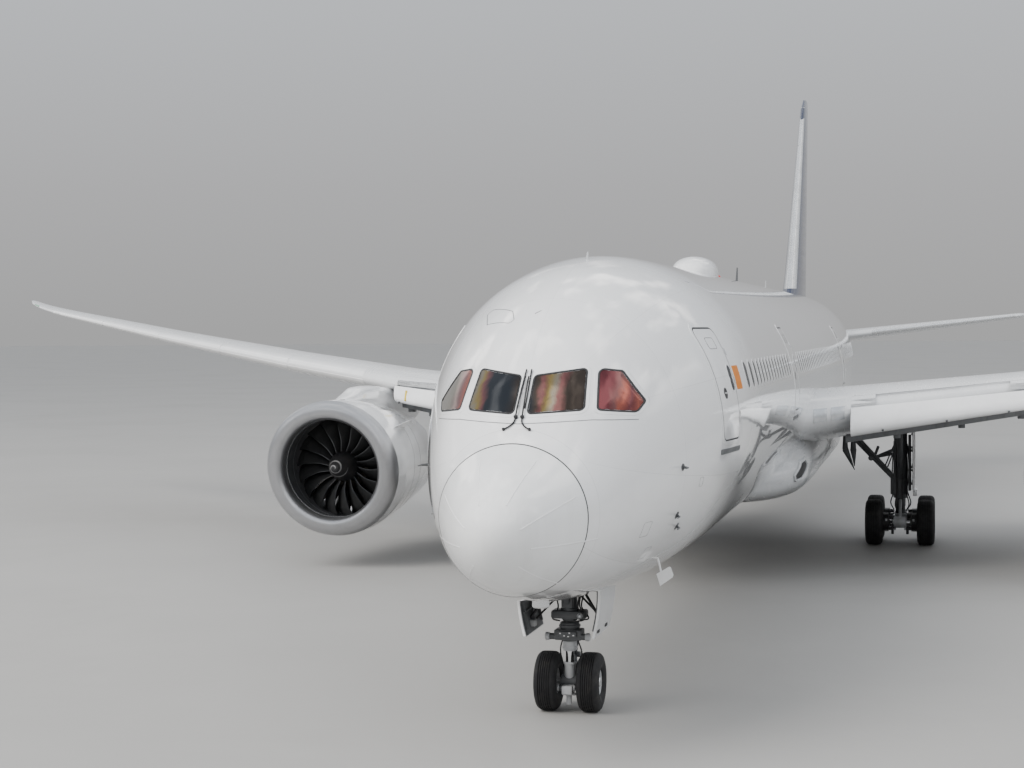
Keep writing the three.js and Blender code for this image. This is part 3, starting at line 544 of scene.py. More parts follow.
def make_streaks_group():
    """Dirt, brushing and streaks of painted reflection and shade, drawn out one way: a mask of soft and
    sharp patches.
    """
    group, given, made = new_group("Streaks", (
        ("Stretch", VECTOR, (1, 1, 1)), ("Low", FLOAT, 0.45), ("High", FLOAT, 0.75)), ("Mask",))
    mapped = add_node(group, "Mapping", {"Vector": object_place(group), "Scale": given["Stretch"]})
    noise = add_node(group, "TexNoise", {
        "Vector": mapped.outputs[0], "Scale": 1.0, "Detail": 7.0, "Roughness": 0.62, "Distortion": 0.3})
    ranged = add_node(group, "MapRange", {
        "Value": noise.outputs[0], "From Min": given["Low"], "From Max": given["High"]},
        interpolation_type="SMOOTHSTEP")
    group.links.new(ranged.outputs[0], made["Mask"])
    return group


def make_grain_group():
    """Fine unevenness of a coat of paint, a casting or a moulding."""
    group, given, made = new_group("Grain", (("Scale", FLOAT, 40.0), ("Coarse", FLOAT, 6.0)),
                                   ("Height", "Tone"))
    place = object_place(group)
    fine = add_node(group, "TexNoise", {"Vector": place, "Scale": given["Scale"], "Detail": 4.0})
    coarse = add_node(group, "TexNoise", {"Vector": place, "Scale": given["Coarse"], "Detail": 5.0})
    height = math_node(group, "MULTIPLY_ADD", coarse.outputs[0], 0.6, fine.outputs[0])
    group.links.new(height, made["Height"])
    group.links.new(coarse.outputs[0], made["Tone"])
    return group


def make_seams_group():
    """Skin joints across and along: thin lines at even spacings, counted from the frame's middle."""
    group, given, made = new_group("Skin seams", (
        ("Across", FLOAT, 1.2), ("Along", FLOAT, 0.6), ("Width", FLOAT, 0.006),
        ("Axis Height", FLOAT, 2.475)), ("Lines", "Panels"))
    x, y, z = split_place(group, object_place(group))
    height = math_node(group, "SUBTRACT", z, given["Axis Height"])
    turn = math_node(group, "ARCTAN2", x, height)
    girth = math_node(group, "MULTIPLY", turn, 1.44)
    lines = []
    cells = []
    for value, spacing in ((y, given["Across"]), (girth, given["Along"])):
        steps = math_node(group, "DIVIDE", value, spacing)
        cell = math_node(group, "FLOOR", steps)
        share = math_node(group, "SUBTRACT", math_node(group, "FRACT", steps), 0.5)
        gap = math_node(group, "SUBTRACT", 0.5, math_node(group, "ABSOLUTE", share))
        gap = math_node(group, "MULTIPLY", gap, spacing)
        lines.append(math_node(group, "LESS_THAN", gap, given["Width"]))
        cells.append(cell)
    cell_place = add_node(group, "CombineXYZ", {0: cells[0], 1: cells[1]})
    tone = add_node(group, "TexWhiteNoise", {"Vector": cell_place.outputs[0]})
    group.links.new(math_node(group, "MAXIMUM", *lines), made["Lines"])
    group.links.new(tone.outputs[0], made["Panels"])
    return group


STREAKS = make_streaks_group()
GRAIN = make_grain_group()
SEAMS = make_seams_group()


def use_group(tree, group, **values):
    made = add_node(tree, "Group", node_tree=group)
    for name, value in values.items():
        made.inputs[name.replace("_", " ")].default_value = value
    return made.outputs


def start_material(name):
    material = bpy.data.materials.new(name)
    material.use_nodes = True
    tree = material.node_tree
    return material, tree, tree.nodes["Principled BSDF"]


def rgb(red, green, blue):
    return (red, green, blue, 1.0)


def set_shader(shader, **settings):
    for name, value in settings.items():
        shader.inputs[name.replace("_", " ")].default_value = value


def coated(name, colour, dirt_colour, streaking, stretch, rough, grain, **shader_values):
    """A painted, plated or moulded surface, with drawn-out dirt, an uneven gloss and a fine relief."""
    material, tree, shader = start_material(name)
    streaks = use_group(tree, STREAKS, Stretch=stretch, Low=0.42, High=0.78)["Mask"]
    relief = use_group(tree, GRAIN, Scale=grain[0], Coarse=grain[1])
    mask = math_node(tree, "MULTIPLY", streaks, streaking)
    tone = math_node(tree, "MULTIPLY_ADD", relief["Tone"], 0.16, 0.92)
    toned = add_node(tree, "HueSaturation", {"Value": tone, "Color": rgb(*colour)}).outputs[0]
    tree.links.new(blend_colours(tree, mask, toned, rgb(*dirt_colour)), shader.inputs["Base Color"])
    gloss = add_node(tree, "MapRange", {
        "Value": math_node(tree, "MULTIPLY_ADD", relief["Tone"], 0.5,
                           math_node(tree, "MULTIPLY", streaks, 0.5)),
        "To Min": rough[0], "To Max": rough[1]})
    tree.links.new(gloss.outputs[0], shader.inputs["Roughness"])
    bump = add_node(tree, "Bump", {"Height": relief["Height"], "Distance": grain[2], "Strength": 0.5})
    tree.links.new(bump.outputs[0], shader.inputs["Normal"])
    set_shader(shader, **shader_values)
    return material


WHITE = (0.86, 0.865, 0.87)
# Grime colour; under the body it is also painted shade.
GRIME_AND_SHADE = (0.36, 0.33, 0.29)
NAVY = (0.012, 0.020, 0.055)
LIGHT_GREY = (0.68, 0.69, 0.70)
# The dark colour of the tail starts at a line that leans aft with height
TAIL_COLOUR_FOOT = at(0, 49.3, 2.9)
TAIL_COLOUR_HEAD = at(0, 51.8, 8.0)


def make_hull_paint(name):
    """Glossy white with painted shade underneath, faint skin joints and a dark blue tail."""
    material, tree, shader = start_material(name)
    _, y, z = split_place(tree, object_place(tree))
    flow = use_group(tree, STREAKS, Stretch=(3.0, 0.22, 3.0), Low=0.40, High=0.80)["Mask"]
    drips = use_group(tree, STREAKS, Stretch=(5.0, 5.0, 0.45), Low=0.52, High=0.85)["Mask"]
    relief = use_group(tree, GRAIN, Scale=26.0, Coarse=1.6)
    # Painted shade of the underside: the white darkens by height towards the keel, broken up by drawn-out
    # streaks.
    underside_shade = add_node(tree, "MapRange", {
        "Value": z, "From Min": 2.3, "From Max": 1.0, "To Min": 0.05, "To Max": 0.52},
        interpolation_type="SMOOTHSTEP").outputs[0]
    streaking = math_node(tree, "MULTIPLY", underside_shade, math_node(tree, "MULTIPLY_ADD", flow, 0.8, 0.2))
    streaking = math_node(tree, "MULTIPLY_ADD", drips, 0.05, streaking, clamp=True)
    seams = use_group(tree, SEAMS, Across=1.35, Along=0.92, Width=0.0022)
    tone = math_node(tree, "MULTIPLY_ADD", seams["Panels"], 0.035, 0.975)
    white = add_node(tree, "HueSaturation", {"Value": tone, "Color": rgb(*WHITE)}).outputs[0]
    lean = TAIL_COLOUR_HEAD - TAIL_COLOUR_FOOT
    edge = math_node(tree, "MULTIPLY_ADD", z, -lean.y / lean.z, y)
    start = TAIL_COLOUR_FOOT.y - TAIL_COLOUR_FOOT.z * lean.y / lean.z
    tail = math_node(tree, "GREATER_THAN", edge, start)
    colour = blend_colours(tree, tail, white, rgb(*NAVY))
    colour = blend_colours(tree, streaking, colour, rgb(*GRIME_AND_SHADE))
    lines = math_node(tree, "MULTIPLY", seams["Lines"], 0.22)
    colour = blend_colours(tree, lines, colour, rgb(0.25, 0.25, 0.26))
    tree.links.new(colour, shader.inputs["Base Color"])
    gloss = add_node(tree, "MapRange", {"Value": streaking, "To Min": 0.05, "To Max": 0.55})
    tree.links.new(gloss.outputs[0], shader.inputs["Roughness"])
    height = math_node(tree, "MULTIPLY_ADD", seams["Lines"], -0.5, relief["Height"])
    bump = add_node(tree, "Bump", {"Height": height, "Distance": 0.0012, "Strength": 0.35})
    tree.links.new(bump.outputs[0], shader.inputs["Normal"])
    set_shader(shader, Coat_Weight=1.0, Coat_Roughness=0.02, Coat_IOR=1.6, Specular_IOR_Level=0.5)
    return material


def make_reflection_glass(name, stops):
    """A metallic pane whose colour is a painted reflection: (x, colour) stops across it in wavy upright
    streaks.
    """
    material, tree, shader = start_material(name)
    across, _, _ = split_place(tree, object_place(tree))
    streaks = use_group(tree, STREAKS, Stretch=(5.0, 5.0, 0.7), Low=0.30, High=0.72)["Mask"]
    low, high = stops[0][0], stops[-1][0]
    place = add_node(tree, "MapRange", {
        "Value": across, "From Min": low * SCALE, "From Max": high * SCALE}).outputs[0]
    wavy = math_node(tree, "MULTIPLY_ADD", math_node(tree, "SUBTRACT", streaks, 0.5), 0.12, place)
    ramp = add_node(tree, "ValToRGB", {"Fac": wavy})
    elements = ramp.color_ramp.elements
    elements[0].color = rgb(*stops[0][1])
    elements[1].color = rgb(*stops[-1][1])
    for x, colour in stops[1:-1]:
        elements.new((x - low) / (high - low)).color = rgb(*colour)
    tree.links.new(ramp.outputs[0], shader.inputs["Base Color"])
    relief = use_group(tree, GRAIN, Scale=3.0, Coarse=1.5)
    bump = add_node(tree, "Bump", {"Height": relief["Height"], "Distance": 0.004, "Strength": 0.25})
    tree.links.new(bump.outputs[0], shader.inputs["Normal"])
    set_shader(shader, Metallic=0.85, Roughness=0.10, Coat_Weight=0.2, Coat_Roughness=0.02)
    return material


def make_tyre_rubber():
    """Matt black rubber with dusty, scuffed faces."""
    material, tree, shader = start_material("tyre_rubber")
    dust = use_group(tree, STREAKS, Stretch=(9.0, 9.0, 9.0), Low=0.46, High=0.80)["Mask"]
    relief = use_group(tree, GRAIN, Scale=160.0, Coarse=14.0)
    mask = math_node(tree, "MULTIPLY", dust, 0.35)
    tree.links.new(blend_colours(tree, mask, rgb(0.012, 0.012, 0.013), rgb(0.085, 0.078, 0.068)),
                   shader.inputs["Base Color"])
    gloss = add_node(tree, "MapRange", {"Value": relief["Tone"], "To Min": 0.55, "To Max": 0.95})
    tree.links.new(gloss.outputs[0], shader.inputs["Roughness"])
    bump = add_node(tree, "Bump", {"Height": relief["Height"], "Distance": 0.0015, "Strength": 0.6})
    tree.links.new(bump.outputs[0], shader.inputs["Normal"])
    return material


DOWN_DRIPS = (6.0, 6.0, 0.8)
AFT_STREAKS = (7.0, 0.35, 7.0)
EVEN = (6.0, 6.0, 6.0)
hull_paint = make_hull_paint("hull_white")
white_paint = coated("gloss_white", WHITE, GRIME_AND_SHADE, 0.12, AFT_STREAKS, (0.08, 0.24), (26.0, 2.0, 0.0005),
                     Coat_Weight=0.9, Coat_Roughness=0.03)
radome_paint = coated("radome_white", (0.83, 0.84, 0.84), (0.48, 0.46, 0.43), 0.16,
                      DOWN_DRIPS, (0.10, 0.28), (22.0, 2.4, 0.0004), Coat_Weight=0.9, Coat_Roughness=0.04)
wing_grey = coated("wing_grey", LIGHT_GREY, (0.42, 0.41, 0.40), 0.14, AFT_STREAKS, (0.18, 0.42),
                   (40.0, 2.2, 0.0006), Coat_Weight=0.5, Coat_Roughness=0.08)
# The fairing's grey, made darker than its paint as painted shade of the underside.
belly_grey = coated("belly_grey", (0.46, 0.47, 0.48), (0.20, 0.18, 0.16), 0.30, AFT_STREAKS, (0.18, 0.45),
                    (34.0, 2.0, 0.0008), Coat_Weight=0.5, Coat_Roughness=0.08)
navy_paint = coated("tail_navy", NAVY, (0.06, 0.07, 0.09), 0.20, AFT_STREAKS, (0.14, 0.34),
                    (26.0, 2.0, 0.0008), Coat_Weight=0.6, Coat_Roughness=0.05)
lip_metal = coated("lip_metal", (0.47, 0.475, 0.49), (0.36, 0.36, 0.38), 0.35, EVEN, (0.30, 0.40),
                   (60.0, 2.0, 0.0002), Metallic=0.9)
edge_metal = coated("edge_metal", (0.74, 0.75, 0.76), (0.50, 0.49, 0.47), 0.30,
                    (5.0, 2.0, 5.0), (0.20, 0.38), (90.0, 3.0, 0.0004), Metallic=0.9)
fan_carbon = coated("fan_carbon", (0.034, 0.035, 0.036), (0.065, 0.065, 0.065), 0.30, EVEN, (0.30, 0.50),
                    (150.0, 8.0, 0.0004), Coat_Weight=0.2, Coat_Roughness=0.2)
# Metal leading edges of the fan blades, darkened as painted shade of the intake's inside.
blade_edge = coated("blade_edge", (0.12, 0.124, 0.13), (0.08, 0.08, 0.08), 0.4, EVEN, (0.28, 0.45),
                    (140.0, 8.0, 0.0003), Metallic=0.9)
liner_grey = coated("liner_grey", (0.060, 0.062, 0.066), (0.03, 0.03, 0.03), 0.45, EVEN, (0.42, 0.70),
                    (240.0, 9.0, 0.0012))
# The spinner's white spiral, dimmed to grey as painted shade of the intake's inside.
spiral_white = coated("spiral_white", (0.26, 0.26, 0.26), (0.16, 0.16, 0.16), 0.3, EVEN, (0.35, 0.55),
                      (80.0, 4.0, 0.0004))
hot_metal = coated("hot_metal", (0.34, 0.30, 0.25), (0.13, 0.11, 0.10), 0.55, (5.0, 0.9, 5.0), (0.28, 0.58),
                   (110.0, 6.0, 0.0006), Metallic=1.0)
gear_paint = coated("gear_grey", (0.47, 0.48, 0.49), (0.10, 0.09, 0.08), 0.50, DOWN_DRIPS, (0.30, 0.62),
                    (120.0, 8.0, 0.0008), Coat_Weight=0.15)
# Dark grey of fittings; on the main legs and the sheet under the slat it is painted shade.
gear_dark = coated("gear_dark", (0.10, 0.105, 0.11), (0.03, 0.028, 0.026), 0.55, DOWN_DRIPS, (0.34, 0.70),
                   (120.0, 8.0, 0.0008))
chrome = coated("piston_chrome", (0.78, 0.79, 0.80), (0.52, 0.50, 0.48), 0.25, DOWN_DRIPS, (0.06, 0.18),
                (90.0, 6.0, 0.0002), Metallic=1.0)
wheel_grey = coated("wheel_grey", (0.50, 0.51, 0.52), (0.12, 0.11, 0.10), 0.55, EVEN, (0.30, 0.60),
                    (120.0, 9.0, 0.0006), Metallic=0.25)
tyre_rubber = make_tyre_rubber()
# Black of seals, wipers and joints; flat over openings it is painted shade of their insides.
seal_black = coated("seal_black", (0.018, 0.018, 0.019), (0.06, 0.06, 0.06), 0.4, EVEN, (0.42, 0.70),
                    (130.0, 9.0, 0.0006))
hose_black = coated("hose_black", (0.022, 0.022, 0.024), (0.07, 0.065, 0.06), 0.5, EVEN, (0.36, 0.62),
                    (260.0, 12.0, 0.0008))
# Painted shade: dark grey for the nose wheel bay and the outflow valves, standing for the shade inside
# them.
bay_dark = coated("bay_dark", (0.14, 0.145, 0.14), (0.04, 0.038, 0.034), 0.6, EVEN, (0.5, 0.8),
                  (90.0, 6.0, 0.0012))
cabin_glass = coated("cabin_glass", (0.008, 0.009, 0.011), (0.020, 0.022, 0.024), 0.3, EVEN, (0.20, 0.34),
                     (12.0, 3.0, 0.0002), Specular_IOR_Level=0.2)
lamp_glass = coated("lamp_glass", (0.62, 0.64, 0.66), (0.34, 0.35, 0.36), 0.4, EVEN, (0.03, 0.10),
                    (30.0, 9.0, 0.0006), Coat_Weight=0.7, Metallic=0.55)
red_glass = coated("red_glass", (0.50, 0.015, 0.012), (0.20, 0.01, 0.01), 0.4, EVEN, (0.05, 0.14),
                   (30.0, 9.0, 0.0004), Coat_Weight=0.8)
green_glass = coated("green_glass", (0.012, 0.32, 0.10), (0.01, 0.12, 0.05), 0.4, EVEN, (0.05, 0.14),
                     (30.0, 9.0, 0.0004), Coat_Weight=0.8)
orange_paint = coated("orange_mark", (0.66, 0.19, 0.0), (0.45, 0.14, 0.01), 0.2, AFT_STREAKS, (0.35, 0.55),
                      (60.0, 4.0, 0.0004), Specular_IOR_Level=0.25)
yellow_paint = coated("yellow_mark", (0.70, 0.52, 0.05), (0.35, 0.28, 0.10), 0.3, EVEN, (0.30, 0.55),
                      (60.0, 4.0, 0.0004))
# Colours of the painted reflections in the cockpit panes
SLATE, BROWN, GOLD = (0.022, 0.026, 0.032), (0.042, 0.031, 0.024), (0.25, 0.18, 0.06)
ROSE, SALMON, CREAM = (0.11, 0.020, 0.026), (0.34, 0.085, 0.055), (0.23, 0.20, 0.15)
PINK = (0.17, 0.065, 0.062)
windshield_warm = make_reflection_glass("windshield_warm", (
    (0.09, SLATE), (0.20, BROWN), (0.28, PINK), (0.36, GOLD), (0.45, CREAM), (0.52, PINK),
    (0.64, BROWN), (0.93, BROWN)))
windshield_cool = make_reflection_glass("windshield_cool", (
    (-0.93, BROWN), (-0.85, CREAM), (-0.78, GOLD), (-0.70, PINK), (-0.60, SLATE), (-0.30, SLATE),
    (-0.09, BROWN)))
side_glass_rose = make_reflection_glass("side_glass_rose", (
    (0.99, ROSE), (1.20, ROSE), (1.30, PINK), (1.38, SALMON), (1.46, ROSE), (1.58, SALMON), (1.69, ROSE)))
side_glass_cream = make_reflection_glass("side_glass_cream", (
    (-1.69, CREAM), (-1.35, CREAM), (-1.18, PINK), (-1.08, SALMON), (-0.99, CREAM)))

# The solids' material that each finish stands for, where a piece doesn't say otherwise
STAND_FOR = {
    "white_paint": (hull_paint, white_paint, radome_paint, spiral_white, lamp_glass),
    "grey_paint": (wing_grey, belly_grey, gear_paint, gear_dark, bay_dark, orange_paint, yellow_paint),
    "navy_paint": (navy_paint,),
    "bare_metal": (lip_metal, edge_metal, blade_edge, chrome),
    "hot_metal": (hot_metal,),
    "tyre": (tyre_rubber, seal_black, hose_black),
    "fan_metal": (fan_carbon, liner_grey, cabin_glass, red_glass, green_glass, windshield_warm,
                  windshield_cool, side_glass_rose, side_glass_cream),
}
SLOTS = {finish.name: slot for slot, finishes in STAND_FOR.items() for finish in finishes}


# Body


def hull_stations(start, end, rings):
    """Stations of a barrel's sections, closer together towards the nose."""
    low, high = sqrt(start), sqrt(end)
    return [mix(low, high, i / rings) ** 2 for i in range(rings + 1)]


BARREL_GAP = 0.004
RADOME_GAP = 0.020
NOSE_BAY = Dims(half=0.66, start=4.55, end=6.15, top=3.0)


def make_nose_bay_cutter():
    # Its dark grey goes onto the bay's walls as painted shade of the bay.
    bay = slab(at(-NOSE_BAY.half, NOSE_BAY.start, 1.0), at(NOSE_BAY.half, NOSE_BAY.end, NOSE_BAY.top),
               0.03)
    return paint(bay, bay_dark)


def make_barrels():
    """The body's barrels, with a hairline between them and a wider one behind the radome."""
    for row in BARRELS:
        front = 0 if row.start == 0 else BARREL_GAP / 2
        back = 0 if row.end == TAIL_END else BARREL_GAP / 2
        if row.name == "radome":
            back = RADOME_GAP / 2
        if row.name == "fuselage_nose":
            front = RADOME_GAP / 2
        stations = hull_stations(row.start + front, row.end - back, row.rings)
        barrel = loft([[hull_point(station, a) for a in angles(HULL_SIDES)] for station in stations])
        paint(barrel, radome_paint if row.name == "radome" else hull_paint)
        if row.name == "fuselage_nose":
            cut(barrel, make_nose_bay_cutter())
        dress(barrel, None, f"skin_{row.name}", replaces=[row.name], sharp=40, slot="white_paint")


# Cockpit panes by their corners as seen from ahead, (x, z), with the rounding of their corners
WINDSHIELD = ((0.09, 5.85), (0.862, 5.957), (0.93, 5.308), (0.094, 5.26))
SIDE_WINDOW = ((0.995, 5.95), (1.33, 5.903), (1.687, 5.416), (1.60, 5.24), (1.078, 5.303))
PANE_CORNER = 0.075
PANE_SEAL = 0.026


def mirrored_outline(outline):
    return [Vector((-point.x, point.y)) for point in reversed(outline)]


def make_cockpit_windows():
    """Four panes with painted reflections, each in a black seal inside a slim raised frame."""
    seals = []
    frames = []
    for name, corners, port_glass, starboard_glass in (
            ("windshield", WINDSHIELD, windshield_warm, windshield_cool),
            ("side_window", SIDE_WINDOW, side_glass_rose, side_glass_cream)):
        port = rounded(corners, PANE_CORNER, 5, 0.12)
        starboard = mirrored_outline(port)
        for side, outline, glass in (("left", port, port_glass), ("right", starboard, starboard_glass)):
            inner = grown(outline, -PANE_SEAL)
            pane = plate(inner, nose_skin, 0.003, inner=(0.75, 0.5, 0.25))
            dress(pane, glass, f"{name}_glass_{side}", sharp=30)
            seals.append(band(outline, inner, nose_skin, 0.006))
            frames.append(band(grown(outline, 0.045), outline, nose_skin, 0.004))
    dress(seals, seal_black, "cockpit_seals")
    dress(frames, hull_paint, "cockpit_frames")


# Window belt: first and last window of each run, at the windows' even pitch
WINDOW_RUNS = ((8.37, 16.7), (19.9, 37.2), (40.5, 50.6), (53.6, 54.9))
WINDOW_PITCH = 0.61
WINDOW = Dims(z=5.70, width=0.28, height=0.47, corner=0.125, rim=0.035)


def make_cabin_windows():
    """Rows of rounded windows, each a dark pane in a slim frame that stands a little proud."""
    panes = []
    rims = []
    low, high = HULL[10].station, HULL[11].station
    for first, last in WINDOW_RUNS:
        count = round((last - first) / WINDOW_PITCH) + 1
        for i in range(count):
            station = first + i * WINDOW_PITCH
            if i > 0 and low < station < high and first + WINDOW_PITCH > low:
                move = shifted(0, WINDOW_PITCH)
                panes.append(duplicate(panes[-1], move))
                rims.append(duplicate(rims[-1], move))
                continue
            hole = rectangle(station, WINDOW.z, WINDOW.width, WINDOW.height, WINDOW.corner, 4, 0.2)
            panes.append(plate(hole, side_skin, 0.0025, inner=(0.5,)))
            rims.append(band(grown(hole, WINDOW.rim), hole, side_skin, 0.006))
    dress_both(panes, cabin_glass, "cabin_window_panes")
    dress_both(rims, hull_paint, "cabin_window_rims")


# Main cabin doors
DOOR = Dims(stations=(6.62, 18.30, 38.85, 52.10), width=1.10, height=1.96, z=5.59, corner=0.16)
DOOR_GAP = 0.030
DOOR_WINDOW = Dims(aft=0.36, z=5.68, width=0.20, height=0.44)
DOOR_HANDLE = Dims(aft=-0.20, z=5.43, radius=0.10)


def make_door(station, width, height, z, corner):
    """One door: a raised surround, a dark gap and the door's own skin."""
    opening = rectangle(station, z, width, height, corner, 6, 0.25)
    surround = band(grown(opening, 0.07), opening, side_skin, 0.007)
    gap = band(grown(opening, 0.002), grown(opening, -DOOR_GAP - 0.002), side_skin, 0.0030)
    panel = plate(grown(opening, -DOOR_GAP), side_skin, 0.006, inner=(0.8, 0.6, 0.4, 0.2))
    return surround, gap, panel


def make_cabin_doors():
    skins = []
    gaps = []
    panes = []
    marks = []
    plates = []
    scuffs = []
    for station in DOOR.stations:
        surround, gap, panel = make_door(station, DOOR.width, DOOR.height, DOOR.z, DOOR.corner)
        skins.extend((surround, panel))
        gaps.append(gap)
        window = rectangle(station + DOOR_WINDOW.aft, DOOR_WINDOW.z, DOOR_WINDOW.width,
                           DOOR_WINDOW.height, 0.08, 4, 0.2)
        skins.append(band(grown(window, 0.035), window, side_skin, 0.010))
        panes.append(plate(window, side_skin, 0.008, inner=(0.5,)))
        vent = rectangle(station, DOOR.z + 0.70, 0.44, 0.20, 0.05, 4, 0.2)
        gaps.append(band(vent, grown(vent, -0.010), side_skin, 0.0072))
        # The handle's recess is a flat black plate: painted shade of its hollow.
        recess = rectangle(station + DOOR_HANDLE.aft, DOOR_HANDLE.z, 2 * DOOR_HANDLE.radius,
                           2 * DOOR_HANDLE.radius, DOOR_HANDLE.radius, 6, 0.3)
        gaps.append(plate(recess, side_skin, 0.0070, inner=(0.5,)))
        grip = polyline(((station + DOOR_HANDLE.aft - 0.06, DOOR_HANDLE.z),
                         (station + DOOR_HANDLE.aft + 0.06, DOOR_HANDLE.z)), 0.03)
        plates.append(strip(grip, 0.028, side_skin, 0.014))
        for rise in (-0.55, 0.05, 0.55):
            hinge = rectangle(station + DOOR.width / 2 + 0.035, DOOR.z + rise, 0.05, 0.13, 0.02, 3, 0.2)
            plates.append(plate(hinge, side_skin, 0.013, inner=(0.5,)))
        foot = rectangle(station, DOOR.z - DOOR.height / 2 - 0.17, DOOR.width + 0.20, 0.09, 0.02, 3, 0.2)
        scuffs.append(plate(foot, side_skin, 0.009, inner=(0.6,)))
    mark = rectangle(DOOR.stations[0] + 0.86, 5.68, 0.46, 0.42, 0.02, 3, 0.2)
    marks.append(plate(mark, side_skin, 0.002, inner=(0.5,)))
    dress_both(skins, hull_paint, "cabin_door_skins")
    dress_both(gaps, seal_black, "cabin_door_gaps")
    dress_both(panes, cabin_glass, "cabin_door_windows")
    dress_both(plates, edge_metal, "cabin_door_fittings")
    dress_both(scuffs, gear_dark, "door_scuff_plates")
    dress(marks, orange_paint, "orange_patch")


make_barrels()
make_cockpit_windows()
make_cabin_windows()
make_cabin_doors()


# Fairing between wings and body: sections from boxy cheeks (bend under 1) to ellipses
BELLY = table(
    ("station", "top", "bottom", "half", "bend"),
    (19.2, 3.00, 2.26, 1.60, 0.72),
    (20.2, 3.30, 2.18, 2.42, 0.72),
    (21.6, 3.70, 2.05, 2.85, 0.74),
    (24.0, 4.20, 1.90, 3.00, 0.85),
    (27.0, 4.70, 1.74, 3.10, 1.00),
    (33.5, 4.66, 1.74, 3.05, 1.00),
    (36.5, 4.40, 1.84, 2.80, 1.00),
    (39.4, 3.50, 2.14, 2.00, 1.00),
)
BELLY_LINES = [curve(BELLY, "station", name) for name in ("top", "bottom", "half", "bend")]
BELLY_SIDES = 88
BELLY_RINGS = 48


def belly_point(station, angle, lift=0.0):
    top, bottom, half, bend = (line(station) for line in BELLY_LINES)
    across = copysign(abs(sin(angle)) ** bend, sin(angle))
    rise = copysign(abs(cos(angle)) ** bend, cos(angle))
    return at((half + lift) * across, station, (top + bottom) / 2 + ((top - bottom) / 2 + lift) * rise)


def belly_side(station, z, lift=0.0):
    """A place on the fairing's port cheek."""
    top, bottom, _, bend = (line(station) for line in BELLY_LINES)
    share = (z - (top + bottom) / 2) / ((top - bottom) / 2)
    rise = copysign(abs(share) ** (1 / bend), share)
    return belly_point(station, acos(max(-1.0, min(1.0, rise))), lift)


def belly_under(x, station, lift=0.0):
    """A place on the fairing's underside."""
    _, _, half, bend = (line(station) for line in BELLY_LINES)
    share = max(-1.0, min(1.0, x / half))
    turn = asin(copysign(abs(share) ** (1 / bend), share))
    return belly_point(station, pi - turn, lift)


RAM_INLET = ((20.35, 2.72), (21.10, 2.80), (21.95, 3.22), (21.20, 3.12))
RAM_OUTLET = Dims(station=30.2, z=2.15, width=1.1, height=0.34)
WHEEL_BAY_DOOR = Dims(x=1.42, station=31.6, width=2.5, length=3.1)


def make_belly():
    """The fairing with its air inlets and outlets and the closed doors of the main wheel bays."""
    first, last = BELLY[0].station, BELLY[-1].station
    stations = [mix(first, last, i / BELLY_RINGS) for i in range(BELLY_RINGS + 1)]
    fairing = loft([[belly_point(station, a) for a in angles(BELLY_SIDES)] for station in stations])
    dress(fairing, belly_grey, "belly_skin", replaces=["belly_fairing"], sharp=40)
    inlet = rounded(RAM_INLET, 0.08, 5, 0.12)
    outlet = rectangle(RAM_OUTLET.station, RAM_OUTLET.z, RAM_OUTLET.width, RAM_OUTLET.height, 0.08, 4, 0.2)
    # The openings are flat black plates: painted shade of the ducts behind them.
    dark = [plate(inlet, belly_side, 0.010, inner=(0.6, 0.3)),
            plate(outlet, belly_side, 0.008, inner=(0.6, 0.3))]
    rims = [band(grown(inlet, 0.05), inlet, belly_side, 0.05),
            band(grown(outlet, 0.03), outlet, belly_side, 0.02)]
    for i in range(5):
        z = RAM_OUTLET.z + (i - 2) * RAM_OUTLET.height / 6
        half = RAM_OUTLET.width / 2 - 0.06
        path = polyline(((RAM_OUTLET.station - half, z), (RAM_OUTLET.station + half, z)), 0.15)
        rims.append(strip(path, 0.02, belly_side, 0.018))
    dress_both(dark, seal_black, "belly_air_openings", slot="fan_metal")
    dress_both(rims, belly_grey, "belly_air_rims")
    door = WHEEL_BAY_DOOR
    bay = rectangle(door.x, door.station, door.width, door.length, 0.25, 6, 0.25)
    doors = [plate(grown(bay, -0.012), belly_under, 0.010)]
    gaps = [band(grown(bay, 0.012), grown(bay, -0.014), belly_under, 0.003)]
    dress_both(doors, belly_grey, "wheel_bay_door")
    dress_both(gaps, seal_black, "wheel_bay_door_gap")


# Wings. Height is that of the chord at REFERENCE of its length, incidence is in degrees.
REFERENCE = 0.3
WING_CAMBER = 0.012
EDGE_HALF_THICKNESS = 0.008
WING = table(
    ("span", "leading", "trailing", "height", "incidence", "thickness"),
    (1.70, 21.16, 33.60, 3.90, 3.0, 0.126),
    (9.90, 26.90, 34.20, 4.92, 1.5, 0.108),
    (14.6, 30.19, 36.15, 5.50, 1.2, 0.110),
    (20.5, 34.32, 38.60, 6.33, 0.8, 0.102),
    (27.0, 38.87, 41.30, 7.32, 0.0, 0.096),
    (28.4, 40.10, 41.92, 7.56, 0.0, 0.092),
    (29.4, 41.30, 42.40, 7.75, 0.0, 0.090),
    (HALF_SPAN, 42.42, 42.86, 7.89, 0.0, 0.100),
)
TIP_START = 27.0
WING_TIP_LINES = {name: curve(WING[3:], "span", name) for name in vars(WING[0]) if name != "span"}
CHORD_PARTS = 26
CHORD_FINE = [(1 - cos(pi * i / CHORD_PARTS)) / 2 for i in range(CHORD_PARTS + 1)]
REAR = 0.5


def between(rows, key, value):
    """A table's row at any value between its own, by straight lines."""
    i = next((k for k in range(1, len(rows)) if getattr(rows[k], key) >= value), len(rows) - 1)
    low, high = vars(rows[i - 1]), vars(rows[i])
    t = (value - low[key]) / (high[key] - low[key])
    return Dims(**{name: mix(low[name], high[name], t) for name in low})


def wing_row(span):
    if span > TIP_START:
        return Dims(span=span, **{name: line(span) for name, line in WING_TIP_LINES.items()})
    return between(WING, "span", span)


